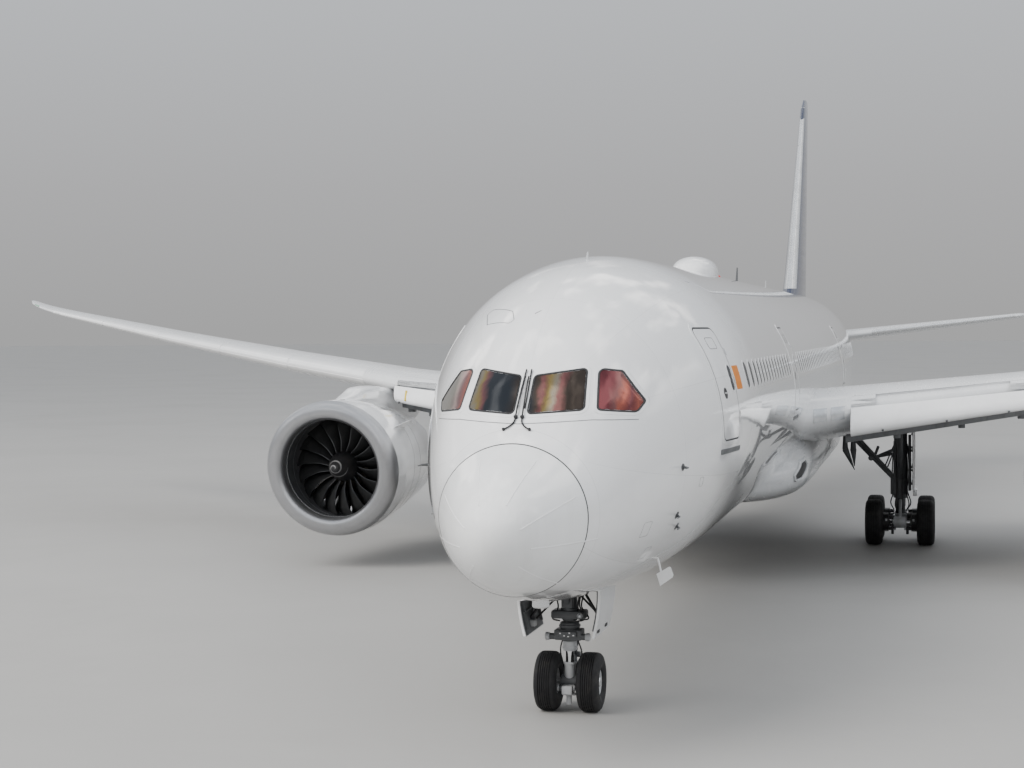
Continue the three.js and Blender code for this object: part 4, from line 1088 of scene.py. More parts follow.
def half_thickness(fraction, thickness):
    return 5 * thickness * (0.2969 * sqrt(fraction) - 0.126 * fraction
                            - 0.3516 * fraction**2 + 0.2843 * fraction**3 - 0.1015 * fraction**4)


def wing_point(row, fraction):
    """Station and height of the wing's middle line, and its half thickness, at a chord fraction."""
    chord = row.trailing - row.leading
    slope = tan(radians(row.incidence))
    half = half_thickness(max(fraction, 0.0), row.thickness) * chord
    z = (row.height + (REFERENCE - fraction) * chord * slope
         + 4 * WING_CAMBER * chord * fraction * (1 - fraction))
    return row.leading + fraction * chord, z, max(EDGE_HALF_THICKNESS, half) if fraction > REAR else half


def wing_skin(span, place, lift=0.0):
    """A place on the wing: chord fraction from the nose, positive above and negative below."""
    station, z, half = wing_point(wing_row(span), abs(place))
    hand = 1 if place >= 0 else -1
    return at(span, station, z + hand * (half + lift))


def wing_nose_skin(span, place, lift=0.0):
    """As wing_skin, but lifted square to the curve of the nose."""
    step = 0.002
    here = wing_skin(span, place)
    ahead = wing_skin(span, place - step)
    behind = wing_skin(span, place + step)
    along = (behind - ahead).normalized()
    out = Vector((1, 0, 0)).cross(along)
    return here + SCALE * lift * out.normalized()


def foil_ring(put):
    """One closed section, along the top and back below. put takes a signed chord fraction."""
    return [put(f, 1) for f in CHORD_FINE] + [put(f, -1) for f in reversed(CHORD_FINE[1:])]


def wing_ring(span):
    row = wing_row(span)

    def put(fraction, hand):
        station, z, half = wing_point(row, fraction)
        return at(span, station, z + hand * half)

    return foil_ring(put)


WING_SPANS = [1.70, 3.0, 4.5, 6.2, 8.0, 9.90, 12.2, 14.6, 17.5, 20.5, 23.7, 27.0, 27.5, 28.0, 28.4, 28.8,
              29.1, 29.4, 29.65, 29.85, HALF_SPAN]
SURFACE_NOSE = 0.94
RUNNING = 0.024
END_GAP = 0.03
SEAM = 0.012
SPLIT_HEIGHT = 2.4


def hinge_block(start, end, reach, extend):
    """A block behind a hinge line, which it may pass at both ends."""
    along = (end - start).normalized()
    aft = (Vector((0, 1, 0)) - along * along.y).normalized()
    up = along.cross(aft) * SPLIT_HEIGHT / 2 * SCALE
    rings = []
    for place in (start - along * extend * SCALE, end + along * extend * SCALE):
        far = place + aft * reach * SCALE
        rings.append([place + up, far + up, far - up, place - up])
    return loft(rings)


def split_surface(whole, hinge):
    """The fixed part of a wing or tail, and the surface that turns on its hinge line."""
    start, end, start_radius, end_radius, reach = hinge
    moving = combine(duplicate(whole), hinge_block(start, end, reach, 0), "INTERSECT")
    nose = bar(start, end, start_radius * SURFACE_NOSE, end_radius * SURFACE_NOSE, 40, 0.001)
    combine(moving, nose, "UNION")
    along = (end - start).normalized() * END_GAP * SCALE
    cut(whole, hinge_block(start, end, reach, END_GAP))
    cut(whole, bar(start - along, end + along, start_radius + RUNNING, end_radius + RUNNING, 40, 0.001))
    return whole, moving


def prism(corners):
    """A plan outline of (x, station) corners, drawn up from the ground to the height of the fin."""
    return loft([[at(x, station, z) for x, station in corners] for z in (0.0, FIN_TOP)])


def chord_strip(start, end, fraction_low, fraction_high, margin):
    corners = []
    for span, fraction, push in ((start - margin, fraction_low, -margin),
                                 (end + margin, fraction_low, -margin),
                                 (end + margin, fraction_high, margin),
                                 (start - margin, fraction_high, margin)):
        row = between(WING, "span", span)
        corners.append((span, mix(row.leading, row.trailing, fraction) + push))
    return prism(corners)


AILERON = Dims(start=21.4, end=26.2, fraction=0.74, reach=3.0)
FLAPS = table(
    ("name", "start", "end", "fraction"),
    ("inboard_flap", 3.75, 9.4, 0.80),
    ("outboard_flap", 11.6, 20.8, 0.76),
)
SLAT = Dims(start=3.9, end=9.6, fraction=0.06, under=0.03, skin=0.2, lip=0.05, forward=0.70,
            drop=0.28, turn=32)
SLAT_ARMS = (4.6, 6.2, 7.8, 9.2)
# A dark sheet behind a slat's lower edge, painted shade of the wing's underside, by distance aft and
# height, and the bracket boxes along it
SHADE_SHEET_SECTION = ((0.0, 0.02), (0.30, 0.06), (0.26, -0.16), (0.04, -0.14))
COVE_BOXES = (5.2, 6.9, 8.5, 9.3)
# The foot and head of the yellow pin on the slat: distance from the middle, station and height
SLAT_PIN = ((9.1, 25.83, 4.50), (9.1, 25.975, 4.80))
SLAT_PIN_RADIUS = 0.03
TRACK_FAIRINGS = table(("span", "length", "radius"), (7.0, 3.6, 0.24), (13.3, 3.5, 0.24), (18.4, 3.1, 0.21))
TRACK_OVERHANG = 0.55
TRACK_RINGS = 26


def track_fairing(span, length, radius, grow=0.0):
    """A canoe-shaped fairing below the wing, deepest before its middle."""
    row = between(WING, "span", span)
    last = row.trailing + TRACK_OVERHANG
    _, z, half = wing_point(row, 0.8)
    rings = []
    for i in range(TRACK_RINGS + 1):
        t = (1 - cos(pi * i / TRACK_RINGS)) / 2
        wave = sin(pi * t ** 0.8)
        swell = max(wave, 0.0) ** 0.6 * radius + grow
        centre = z - half - 0.55 * radius * wave
        rings.append([at(span + 0.8 * swell * sin(a), last - length * (1 - t), centre + swell * cos(a))
                      for a in angles(24)])
    return loft(rings)


def hinge_of(rows, key, surface, point):
    ends = [point(between(rows, key, value), surface.fraction) for value in (surface.start, surface.end)]
    return ends[0][0], ends[1][0], ends[0][1], ends[1][1], surface.reach


def wing_hinge_point(row, fraction):
    station, z, half = wing_point(row, fraction)
    return at(row.span, station, z), half


def make_slat(wing):
    """The inboard slat, cut from the wing's nose skin, turned down and moved forward, on its arms."""
    underside = []
    for span in (SLAT.start - SEAM, SLAT.end + SEAM):
        row = between(WING, "span", span)
        ring = []
        for fraction, drop in ((SLAT.under, SLAT.lip), (0.2, SLAT.lip), (0.2, 2.0), (SLAT.under, 2.0)):
            station, z, _ = wing_point(row, fraction)
            ring.append(at(span, station, z - drop))
        underside.append(ring)
    skin = combine(duplicate(wing), chord_strip(SLAT.start, SLAT.end, -0.1, SLAT.fraction, 0), "INTERSECT")
    cut(skin, duplicate(wing, shifted(0, SLAT.skin)))
    cut(skin, loft(underside))
    cut(wing, duplicate(skin))
    ends = []
    for span in (SLAT.start, SLAT.end):
        station, z, half = wing_point(between(WING, "span", span), SLAT.fraction)
        ends.append(at(span, station, z + half))
    turn = turned_about(ends[0], ends[1] - ends[0], radians(SLAT.turn))
    travel = shifted(0, -SLAT.forward, -SLAT.drop) @ turn
    skin.data.transform(travel)
    combine(skin, chord_strip(SLAT.start + SEAM, SLAT.end - SEAM, -0.4, 0.3, 0), "INTERSECT")
    arms = []
    for span in SLAT_ARMS:
        station, z, _ = wing_point(between(WING, "span", span), 0.0)
        front = travel @ at(span, station + SLAT.skin / 2, z)
        arms.append(bar(front, at(span, station + 2 * SLAT.skin, z), 0.06))
        arms.append(bar(front + at(0.25, LENGTH / 2 + 0.05, -0.06),
                        front + at(0.25, LENGTH / 2 + 0.5, 0.05), 0.03))
    # A dark sheet below the slat's edge: painted shade of the wing's underside.
    shade_sheet = []
    for span in (SLAT.start + 0.1, SLAT.end - 0.1):
        station, z, half = wing_point(between(WING, "span", span), SLAT.under)
        edge = travel @ at(span, station, z - half)
        shade_sheet.append([edge + SCALE * Vector((0, aft, rise)) for aft, rise in SHADE_SHEET_SECTION])
    arms.append(loft(shade_sheet))
    for span in COVE_BOXES:
        share = (span - SLAT.start) / (SLAT.end - SLAT.start)
        middle = shade_sheet[0][2].lerp(shade_sheet[1][2], share)
        reach = SCALE * Vector((0.09, 0.13, 0.08))
        arms.append(slab(middle - reach, middle + reach, 0.015))
    return skin, join(arms)


def make_wings():
    wing = loft([wing_ring(span) for span in WING_SPANS])
    whole = duplicate(wing)
    wing, aileron = split_surface(wing, hinge_of(WING, "span", AILERON, wing_hinge_point))
    slat, arms = make_slat(wing)
    flaps = []
    for row in FLAPS:
        flap = combine(duplicate(whole), chord_strip(row.start, row.end, row.fraction, 1.1, 0), "INTERSECT")
        for fairing in TRACK_FAIRINGS:
            if row.start < fairing.span < row.end:
                cut(flap, track_fairing(**vars(fairing), grow=0.004))
        flaps.append(flap)
        cut(wing, chord_strip(row.start, row.end, row.fraction, 1.1, SEAM))
    bpy.data.objects.remove(whole)
    fairings = join(track_fairing(**vars(fairing)) for fairing in TRACK_FAIRINGS)
    dress_both(wing, wing_grey, "wing_skin", replaces=["wing_"], sharp=38, slot="white_paint")
    dress_both(fairings, wing_grey, "flap_track_fairings", sharp=50, slot="white_paint")
    dress_both(slat, white_paint, "slat_skin", replaces=["inboard_slat_"], sharp=38)
    dress_both(arms, gear_dark, "slat_tracks")
    pin = bar(*(at(*place) for place in SLAT_PIN), SLAT_PIN_RADIUS, sides=12)
    dress_both(pin, yellow_paint, "slat_pin")
    dress_both(aileron, wing_grey, "aileron_skin", "aileron_surface_", ["aileron_"], 38, slot="white_paint")
    for row, flap in zip(FLAPS, flaps):
        dress_both(flap, wing_grey, f"{row.name}_skin", replaces=[f"{row.name}_"], sharp=38)


# Slat segments that stay shut, spoilers and the wing's own fittings
SHUT_SLATS = ((11.0, 14.3), (14.33, 17.6), (17.63, 20.9), (20.93, 24.2), (24.23, 27.4))
SHUT_SLAT_REACH = (-0.035, 0.115)
SPOILERS = ((4.1, 5.85), (5.88, 7.6), (7.63, 9.3), (11.8, 14.0), (14.03, 16.2),
            (16.23, 18.4), (18.43, 20.6))
SPOILER_CHORD = ((0.655, 0.795), (0.605, 0.752))
INBOARD_END = 10.0


def make_wing_panels():
    """Slat noses that stand a hair above the wing, the spoilers and their dark gaps."""
    noses = []
    for start, end in SHUT_SLATS:
        low, high = SHUT_SLAT_REACH
        rings = []
        for k in range(7):
            span = mix(start + SEAM, end - SEAM, k / 6)
            outer = [wing_nose_skin(span, mix(low, high, i / 22), 0.006) for i in range(23)]
            inner = [wing_nose_skin(span, mix(high, low, i / 22), -0.01) for i in range(23)]
            rings.append(outer + inner)
        noses.append(loft(rings))
    dress_both(noses, white_paint, "slat_noses", sharp=40)
    panels = []
    gaps = []
    for start, end in SPOILERS:
        front, back = SPOILER_CHORD[0 if start < INBOARD_END else 1]
        outline = rounded(((start, front), (end, front), (end, back), (start, back)), 0.004, 2, 0.25)
        panels.append(plate(grown(outline, -0.004), wing_skin, 0.007, edge=0.001))
        gaps.append(plate(grown(outline, 0.0015), wing_skin, 0.0015, edge=0.0005))
    dress_both(panels, wing_grey, "spoilers")
    dress_both(gaps, seal_black, "spoiler_gaps")


# Fin, rudder, tailplane and elevators
FIN = table(
    ("z", "leading", "trailing", "thickness"),
    (6.60, 48.8, 58.6, 0.100),
    (8.60, 51.2, 59.1, 0.100),
    (16.5, 58.2, 61.2, 0.095),
    (FIN_TOP, 59.1, 61.32, 0.070),
)
FIN_HEIGHTS = (6.60, 7.3, 8.0, 8.60, 11.0, 13.5, 15.5, 16.5, 16.68, 16.84, 16.95, FIN_TOP)
RUDDER = Dims(start=8.85, end=16.35, fraction=0.69, reach=4.0)
TAILPLANE = table(
    ("span", "leading", "trailing", "z", "thickness"),
    (0.70, 53.67, 59.43, 6.06, 0.100),
    (9.60, 60.2, 62.7, 7.05, 0.095),
    (9.90, 60.9, LENGTH, 7.09, 0.070),
)
TAILPLANE_SPANS = (0.70, 2.5, 4.5, 6.5, 8.5, 9.60, 9.70, 9.79, 9.86, 9.90)
ELEVATOR = Dims(start=2.3, end=9.2, fraction=0.70, reach=3.0)
NOSE_STRIP = 0.055


def tail_half(row, fraction):
    half = half_thickness(fraction, row.thickness) * (row.trailing - row.leading)
    return max(half, EDGE_HALF_THICKNESS) if fraction > REAR else half


def fin_skin(z, place, lift=0.0):
    row = between(FIN, "z", z)
    hand = 1 if place >= 0 else -1
    station = mix(row.leading, row.trailing, abs(place))
    return at(hand * (tail_half(row, abs(place)) + lift), station, z)


def tailplane_skin(span, place, lift=0.0):
    row = between(TAILPLANE, "span", span)
    hand = 1 if place >= 0 else -1
    station = mix(row.leading, row.trailing, abs(place))
    return at(span, station, row.z + hand * (tail_half(row, abs(place)) + lift))


def nose_strip(skin, low, high, parts):
    """A thin metal skin round a tail surface's leading edge."""
    places = [NOSE_STRIP * copysign((abs(i) / 8) ** 2, i) for i in range(-8, 9)]
    rings = []
    for k in range(parts + 1):
        key = mix(low, high, k / parts)
        outer = [skin(key, place, 0.005) + at(0, LENGTH / 2 - 0.005 * (1 - abs(i - 8) / 8), 0)
                 for i, place in enumerate(places)]
        inner = [skin(key, place, -0.02) + at(0, LENGTH / 2 + 0.03 * (1 - abs(i - 8) / 8), 0)
                 for i, place in reversed(list(enumerate(places)))]
        rings.append(outer + inner)
    return loft(rings)


def make_tail():
    fin = loft([foil_ring(lambda f, hand: fin_skin(z, max(f, 1e-6) * hand)) for z in FIN_HEIGHTS])

    def fin_hinge(row, fraction):
        return at(0, mix(row.leading, row.trailing, fraction), row.z), tail_half(row, fraction)

    fin, rudder = split_surface(fin, hinge_of(FIN, "z", RUDDER, fin_hinge))
    dress(fin, navy_paint, "fin_skin", replaces=["fin"], sharp=38)
    dress(rudder, navy_paint, "rudder_skin", "rudder_surface", ["rudder"], 38)
    plane = loft([foil_ring(lambda f, hand: tailplane_skin(span, max(f, 1e-6) * hand))
                  for span in TAILPLANE_SPANS])

    def plane_hinge(row, fraction):
        return at(row.span, mix(row.leading, row.trailing, fraction), row.z), tail_half(row, fraction)

    plane, elevator = split_surface(plane, hinge_of(TAILPLANE, "span", ELEVATOR, plane_hinge))
    dress_both(plane, wing_grey, "stabilizer_skin", replaces=["stabilizer_"], sharp=38)
    dress_both(elevator, wing_grey, "elevator_skin", "elevator_surface_", ["elevator_"], 38)
    fin_edge = nose_strip(fin_skin, 8.2, 16.6, 12)
    dress(fin_edge, edge_metal, "fin_leading_edge", sharp=50)
    plane_edge = nose_strip(tailplane_skin, 3.2, 9.4, 8)
    dress_both(plane_edge, edge_metal, "stabilizer_leading_edge", sharp=50)


make_belly()
make_wings()
make_wing_panels()
make_tail()


# Engines, measured from their centre lines. Tables hold stations, and radii about the shaft.
ENGINE = Dims(x=10.09, z=2.78)
LIP_JOINT = 22.28
COWL_END = 27.35
LIP_RADIUS = 1.88
THROAT_RADIUS = 1.36
# The intake's face leans, its top ahead of its bottom, and the lean fades out aft
LEAN_SLOPE = 0.139
LEAN_END = 24.0
COWL = table(
    ("station", "radius"),
    (LIP_JOINT, LIP_RADIUS),
    (22.9, 1.89),
    (23.6, 1.845),
    (24.5, 1.76),
    (25.5, 1.65),
    (26.5, 1.52),
    (COWL_END, 1.42),
)
DUCT = table(
    ("station", "radius"),
    (LIP_JOINT, THROAT_RADIUS),
    (22.95, 1.43),
    (23.7, 1.43),
    (24.6, 1.50),
    (25.4, 1.50),
    (26.5, 1.44),
    (COWL_END, 1.37),
)
LIP = table(
    ("step", "radius", "station"),
    (0, LIP_RADIUS, LIP_JOINT),
    (1, 1.84, 22.05),
    (2, 1.76, 21.90),
    (3, 1.65, 21.82),
    (4, 1.53, 21.80),
    (5, 1.42, 21.87),
    (6, THROAT_RADIUS, 22.03),
    (7, THROAT_RADIUS, LIP_JOINT),
)
CHEVRONS = 16
CHEVRON_DEPTH = 0.30
CHEVRON_REACH = 0.9
NACELLE_SIDES = 128
FAN_BLADES = 18
FAN_FACE = 23.1
FAN_TIP = 1.40
HUB_CHORD = 0.40
SPINNER = table(
    ("radius", "station"),
    (0.0, 22.28),
    (0.09, 22.33),
    (0.22, 22.56),
    (0.33, 22.83),
    (0.41, 23.08),
    (0.45, 23.30),
)
SPINNER_END = 23.58
# One upright blade, from hub to tip: its angle from the shaft, its sweep aft and its lean to port
BLADE = table(
    ("radius", "chord", "angle", "half", "sweep", "lean"),
    (0.40, 0.40, 18, 0.030, 0.00, 0.00),
    (0.80, 0.50, 38, 0.022, -0.04, 0.09),
    (1.15, 0.56, 52, 0.016, -0.02, 0.07),
    (FAN_TIP, 0.54, 61, 0.012, 0.06, -0.04),
)
BLADE_COLUMNS = ("chord", "angle", "half", "sweep", "lean")
BLADE_RINGS = 16
BLADE_STEPS = (-0.5, -0.485, -0.44, -0.34, -0.2, 0.0, 0.2, 0.36, 0.46, 0.5)
BLADE_EDGE_STEPS = (-0.502, -0.49, -0.475)
BLADE_BOW = 0.035
CORE = ((0, 23.66), (0.60, 23.66), (0.72, 24.0), (0.80, 24.3), (0.90, 24.9), (0.94, 25.5), (0.945, 26.1),
        (0.92, 26.7), (0.85, 27.25), (0.74, 27.8), (0.65, 28.2), (0.57, 28.6), (0.53, 28.6), (0.515, 28.3),
        (0.50, 28.1), (0.34, 28.1), (0.335, 28.35), (0.30, 28.6), (0.24, 28.8), (0.16, 29.0), (0.05, 29.2),
        (0, 29.2))
BIFURCATION = Dims(start=24.7, end=27.0, half=0.09, inner=0.7, outer=1.42)
PYLON = table(
    ("station", "bottom", "top", "half"),
    (22.5, 4.50, 4.64, 0.05),
    (22.9, 4.48, 4.70, 0.15),
    (23.6, 4.45, 4.82, 0.25),
    (24.2, 4.42, 4.96, 0.28),
    (25.0, 4.38, 4.97, 0.30),
    (26.4, 4.20, 4.90, 0.30),
    (27.5, 3.66, 4.80, 0.30),
    (28.8, 3.62, 4.75, 0.28),
    (30.6, 4.00, 4.90, 0.20),
    (32.4, 4.36, 4.80, 0.06),
)
PYLON_LINES = [curve(PYLON, "station", name) for name in ("bottom", "top", "half")]
COWL_LINE = curve(COWL, "station", "radius")
DUCT_LINE = curve(DUCT, "station", "radius")
BLADE_LINES = {name: curve(BLADE, "radius", name) for name in BLADE_COLUMNS}
SPINNER_LINE = curve(SPINNER, "radius", "station")
ENGINE_AXIS = at(ENGINE.x, LENGTH / 2, ENGINE.z)


def engine_point(radius, turn, station):
    """A place round the port engine: the turn is 0 on top and grows to port."""
    return at(ENGINE.x + radius * sin(turn), station, ENGINE.z + radius * cos(turn))


def leaning_point(radius, turn, station):
    """The same on the cowl or in its duct, with the lean of the intake's face."""
    share = max(0.0, min(1.0, (LEAN_END - station) / (LEAN_END - LIP_JOINT)))
    return engine_point(radius, turn, station - LEAN_SLOPE * share * radius * cos(turn))


def engine_spun(profile, sides=NACELLE_SIDES, put=engine_point):
    return loft([[put(radius, a, station) for a in angles(sides)] for radius, station in profile],
                cap=False)


def chevron_shift(turn):
    """How far the cowl's rear edge is cut back at a turn round it, as rounded teeth."""
    phase = (turn / TURN * CHEVRONS) % 1
    tooth = 1 - abs(2 * phase - 1)
    return -CHEVRON_DEPTH * (1 - tooth ** 1.2)


def make_cowl():
    """The nacelle's cowl with its toothed rear edge and its duct wall."""
    first_tooth = COWL_END - CHEVRON_REACH

    def ring(station, line):
        share = max(0.0, (station - first_tooth) / CHEVRON_REACH)
        points = []
        for a in angles(NACELLE_SIDES):
            moved = station + chevron_shift(a) * share ** 1.5
            points.append(leaning_point(line(moved), a, moved))
        return points

    stations = [mix(LIP_JOINT, COWL_END, i / 26) for i in range(27)]
    rings = [ring(station, COWL_LINE) for station in stations]
    rings += [ring(station, DUCT_LINE) for station in reversed(stations)]
    cowl = loft([*rings, rings[0]], cap=False)
    dress_both(cowl, white_paint, "nacelle_cowl", replaces=["nacelle_"], sharp=40)


LIP_PARTS = 35
LIP_GAP = 0.006


def make_lip():
    last = LIP[-1].step
    radius_line = curve(LIP, "step", "radius")
    station_line = curve(LIP, "step", "station")
    steps = [last * i / LIP_PARTS for i in range(LIP_PARTS + 1)]
    profile = [(radius_line(t), min(station_line(t), LIP_JOINT - LIP_GAP)) for t in steps]
    lip = engine_spun([*profile, profile[0]], put=leaning_point)
    dress_both(lip, lip_metal, "inlet_lip_skin", replaces=["inlet_lip_"], sharp=40)


LINING = Dims(start=22.30, end=24.35, thickness=0.012, sink=0.02)
LINING_JOINTS = (22.95, 23.62)
JOINT_RING = Dims(width=0.02, height=0.006)


def make_intake_lining():
    """Dark sound-absorbing lining between the lip and the fan, with its bolted joints."""
    stations = [mix(LINING.start, LINING.end, i / 12) for i in range(13)]
    inner = [(DUCT_LINE(station) - LINING.thickness, station) for station in stations]
    outer = [(DUCT_LINE(station) + LINING.sink, station) for station in reversed(stations)]
    lining = engine_spun([*inner, *outer, inner[0]], put=leaning_point)
    ridges = []
    for station in LINING_JOINTS:
        high = DUCT_LINE(station)
        low = high - LINING.thickness - JOINT_RING.height
        end = station + JOINT_RING.width
        ridges.append(engine_spun([(low, station), (low, end), (high, end), (high, station),
                                   (low, station)],
                                  put=leaning_point))
    dress_both(lining, liner_grey, "intake_lining", sharp=40)
    dress_both(ridges, gear_dark, "intake_joint_rings", sharp=30, slot="fan_metal")


def blade_section(radius, places=BLADE_STEPS, lift=0.0):
    """One section of a blade at a radius, in the frame of an upright blade."""
    chord, angle, half, sweep, lean = (BLADE_LINES[name](radius) for name in BLADE_COLUMNS)
    tilt = radians(angle)
    points = []
    for face in (1, -1):
        for place in places if face > 0 else places[::-1]:
            along = place * chord
            fullness = max(0.0, 1 - (2 * place) ** 2) ** 0.5
            bow = BLADE_BOW * (1 - (2 * place) ** 2) * (radius - BLADE[0].radius)
            across = face * (half * fullness + 0.003 + lift) + bow
            axial = along * cos(tilt) - across * sin(tilt) + sweep
            sideways = along * sin(tilt) + across * cos(tilt) + lean
            flat = sqrt(max(radius ** 2 - sideways ** 2, 0.0))
            points.append(at(ENGINE.x + sideways, FAN_FACE + HUB_CHORD / 2 + axial, ENGINE.z + flat))
    return points


def around_engine(obj, count):
    """Copies of a piece set round the engine's shaft, joined as one."""
    copies = [duplicate(obj, turned_about(ENGINE_AXIS, Vector((0, 1, 0)), -TURN * i / count))
              for i in range(count)]
    bpy.data.objects.remove(obj)
    return join(copies)


def spinner_skin(turn, radius, lift=0.0):
    """A place on the spinner, by its turn from the top and its distance from the shaft."""
    step = 0.002
    low, high = max(radius - step, 0.0), radius + step
    slope = (SPINNER_LINE(high) - SPINNER_LINE(low)) / (high - low)
    length = hypot(slope, 1)
    return engine_point(radius + lift * slope / length, turn, SPINNER_LINE(radius) - lift / length)


SPINNER_PARTS = 30
SPIRAL = Dims(turns=2.1, start=TURN / 4, outer=0.28, inner=0.030, half_width=0.012, lift=0.003)
SPIRAL_PARTS = 72


def make_spiral():
    """A thin painted spiral, wound inwards clockwise as seen from ahead."""
    rings = []
    for i in range(SPIRAL_PARTS + 1):
        t = i / SPIRAL_PARTS
        radius = mix(SPIRAL.outer, SPIRAL.inner, t)
        turn = SPIRAL.start + SPIRAL.turns * TURN * t
        half = SPIRAL.half_width * min(1.0, 8 * t + 0.15, 8 * (1 - t) + 0.15)
        lift = SPIRAL.lift
        rings.append([spinner_skin(turn, radius + reach, rise)
                      for reach, rise in ((-half, -lift), (-half, lift), (half, lift), (half, -lift))])
    return loft(rings)


def make_fan():
    """Broad dark blades with metal leading edges, and a black spinner with a painted spiral."""
    radii = [mix(BLADE[0].radius, FAN_TIP, i / BLADE_RINGS) for i in range(BLADE_RINGS + 1)]
    blades = around_engine(loft([blade_section(radius) for radius in radii]), FAN_BLADES)
    edges = around_engine(loft([blade_section(radius, BLADE_EDGE_STEPS, 0.002) for radius in radii]),
                          FAN_BLADES)
    reaches = [SPINNER[-1].radius * i / SPINNER_PARTS for i in range(SPINNER_PARTS + 1)]
    nose = [(reach, SPINNER_LINE(reach)) for reach in reaches]
    spinner = engine_spun([*nose, (nose[-1][0], SPINNER_END), (0, SPINNER_END)], 72)
    spiral = make_spiral()
    for side, _ in SIDES:
        move = Matrix.Identity(4) if side == "left" else shifted(-2 * ENGINE.x)
        for piece, finish, name, slot, replaced in (
                (blades, fan_carbon, "fan_blades", "fan_metal", [f"fan_{side}"]),
                (edges, blade_edge, "fan_blade_edges", "bare_metal", []),
                (spinner, hose_black, "fan_spinner", "fan_metal", []),
                (spiral, spiral_white, "spinner_spiral", "white_paint", [])):
            dress(duplicate(piece, move), finish, f"{name}_{side}", f"fan_rotor_{side}", replaced, 40, slot)
    for piece in (blades, edges, spinner, spiral):
        bpy.data.objects.remove(piece)


GUIDE_VANES = 32
VANE_RADII = (0.66, 0.95, 1.25, 1.49)
VANE_SECTION = ((-0.20, 0.0), (-0.1, 0.018), (0.05, 0.016), (0.20, 0.0), (0.05, -0.010), (-0.1, -0.010))
VANE_STATION = 24.15
VANE_TILT = radians(12)


def make_core():
    """Guide vanes behind the fan, the hot core with its nozzle and plug, and the duct's two walls."""
    rings = []
    for radius in VANE_RADII:
        ring = []
        for along, across in VANE_SECTION:
            sideways = along * sin(VANE_TILT) + across * cos(VANE_TILT)
            ring.append(at(ENGINE.x + sideways, VANE_STATION + along * cos(VANE_TILT), ENGINE.z + radius))
        rings.append(ring)
    vanes = around_engine(loft(rings), GUIDE_VANES)
    core = engine_spun(CORE, 72)
    wall = BIFURCATION
    walls = []
    for low, high in ((wall.inner, wall.outer), (-wall.outer, -wall.inner)):
        walls.append(slab(at(ENGINE.x - wall.half, wall.start, ENGINE.z + low),
                          at(ENGINE.x + wall.half, wall.end, ENGINE.z + high), 0.05))
    dress_both([core, *walls], hot_metal, "core_skin", replaces=["engine_core_"], sharp=35)
    dress_both(vanes, gear_dark, "guide_vanes", sharp=35, slot="fan_metal")


PYLON_RINGS = 48
PYLON_SIDES = 28
PYLON_CORNER = 0.60


def make_pylon():
    first, last = PYLON[0].station, PYLON[-1].station
    rings = []
    for i in range(PYLON_RINGS + 1):
        station = mix(first, last, i / PYLON_RINGS)
        bottom, top, half = (line(station) for line in PYLON_LINES)
        middle, reach = (top + bottom) / 2, (top - bottom) / 2
        ring = []
        for a in angles(PYLON_SIDES, TURN / PYLON_SIDES / 2):
            across = copysign(abs(sin(a)) ** PYLON_CORNER, sin(a))
            rise = copysign(abs(cos(a)) ** (PYLON_CORNER + 0.15), cos(a))
            ring.append(at(ENGINE.x + half * across, station, middle + reach * rise))
        rings.append(ring)
    dress_both(loft(rings), white_paint, "pylon_skin", replaces=["pylon_"], sharp=45)


def nacelle_skin(turn_degrees, station, lift=0.0):
    """A place on the cowl by its turn from the top, towards the body, and its station."""
    return leaning_point(COWL_LINE(station) + lift, -radians(turn_degrees), station)


CHINE = Dims(turn=54, start=23.05, end=24.2, height=0.28, half=0.018, foot=0.10)
CHINE_SECTION = ((0.0, 1.0), (0.7, 0.7), (1.0, 0.25), (1.0, -0.25), (0.7, -0.7), (0.0, -1.0))
COWL_SEAMS = (24.05, 24.95)
KEEL_SEAM = Dims(start=LIP_JOINT + 0.05, end=26.9, width=0.55)
LATCHES = Dims(start=22.9, pitch=0.55, count=7, width=3.0, length=0.20)
# Small hatches in the cowl: turn from the top in degrees, station, width in degrees and length
COWL_HATCHES = ((118, 23.5, 9.0, 0.46), (62, 23.55, 5.0, 0.30), (-70, 23.6, 7.0, 0.5),
                (-118, 24.5, 9.0, 0.5))
COWL_VENT = Dims(turn=3.0, station=22.95, width=4.4, length=0.10)


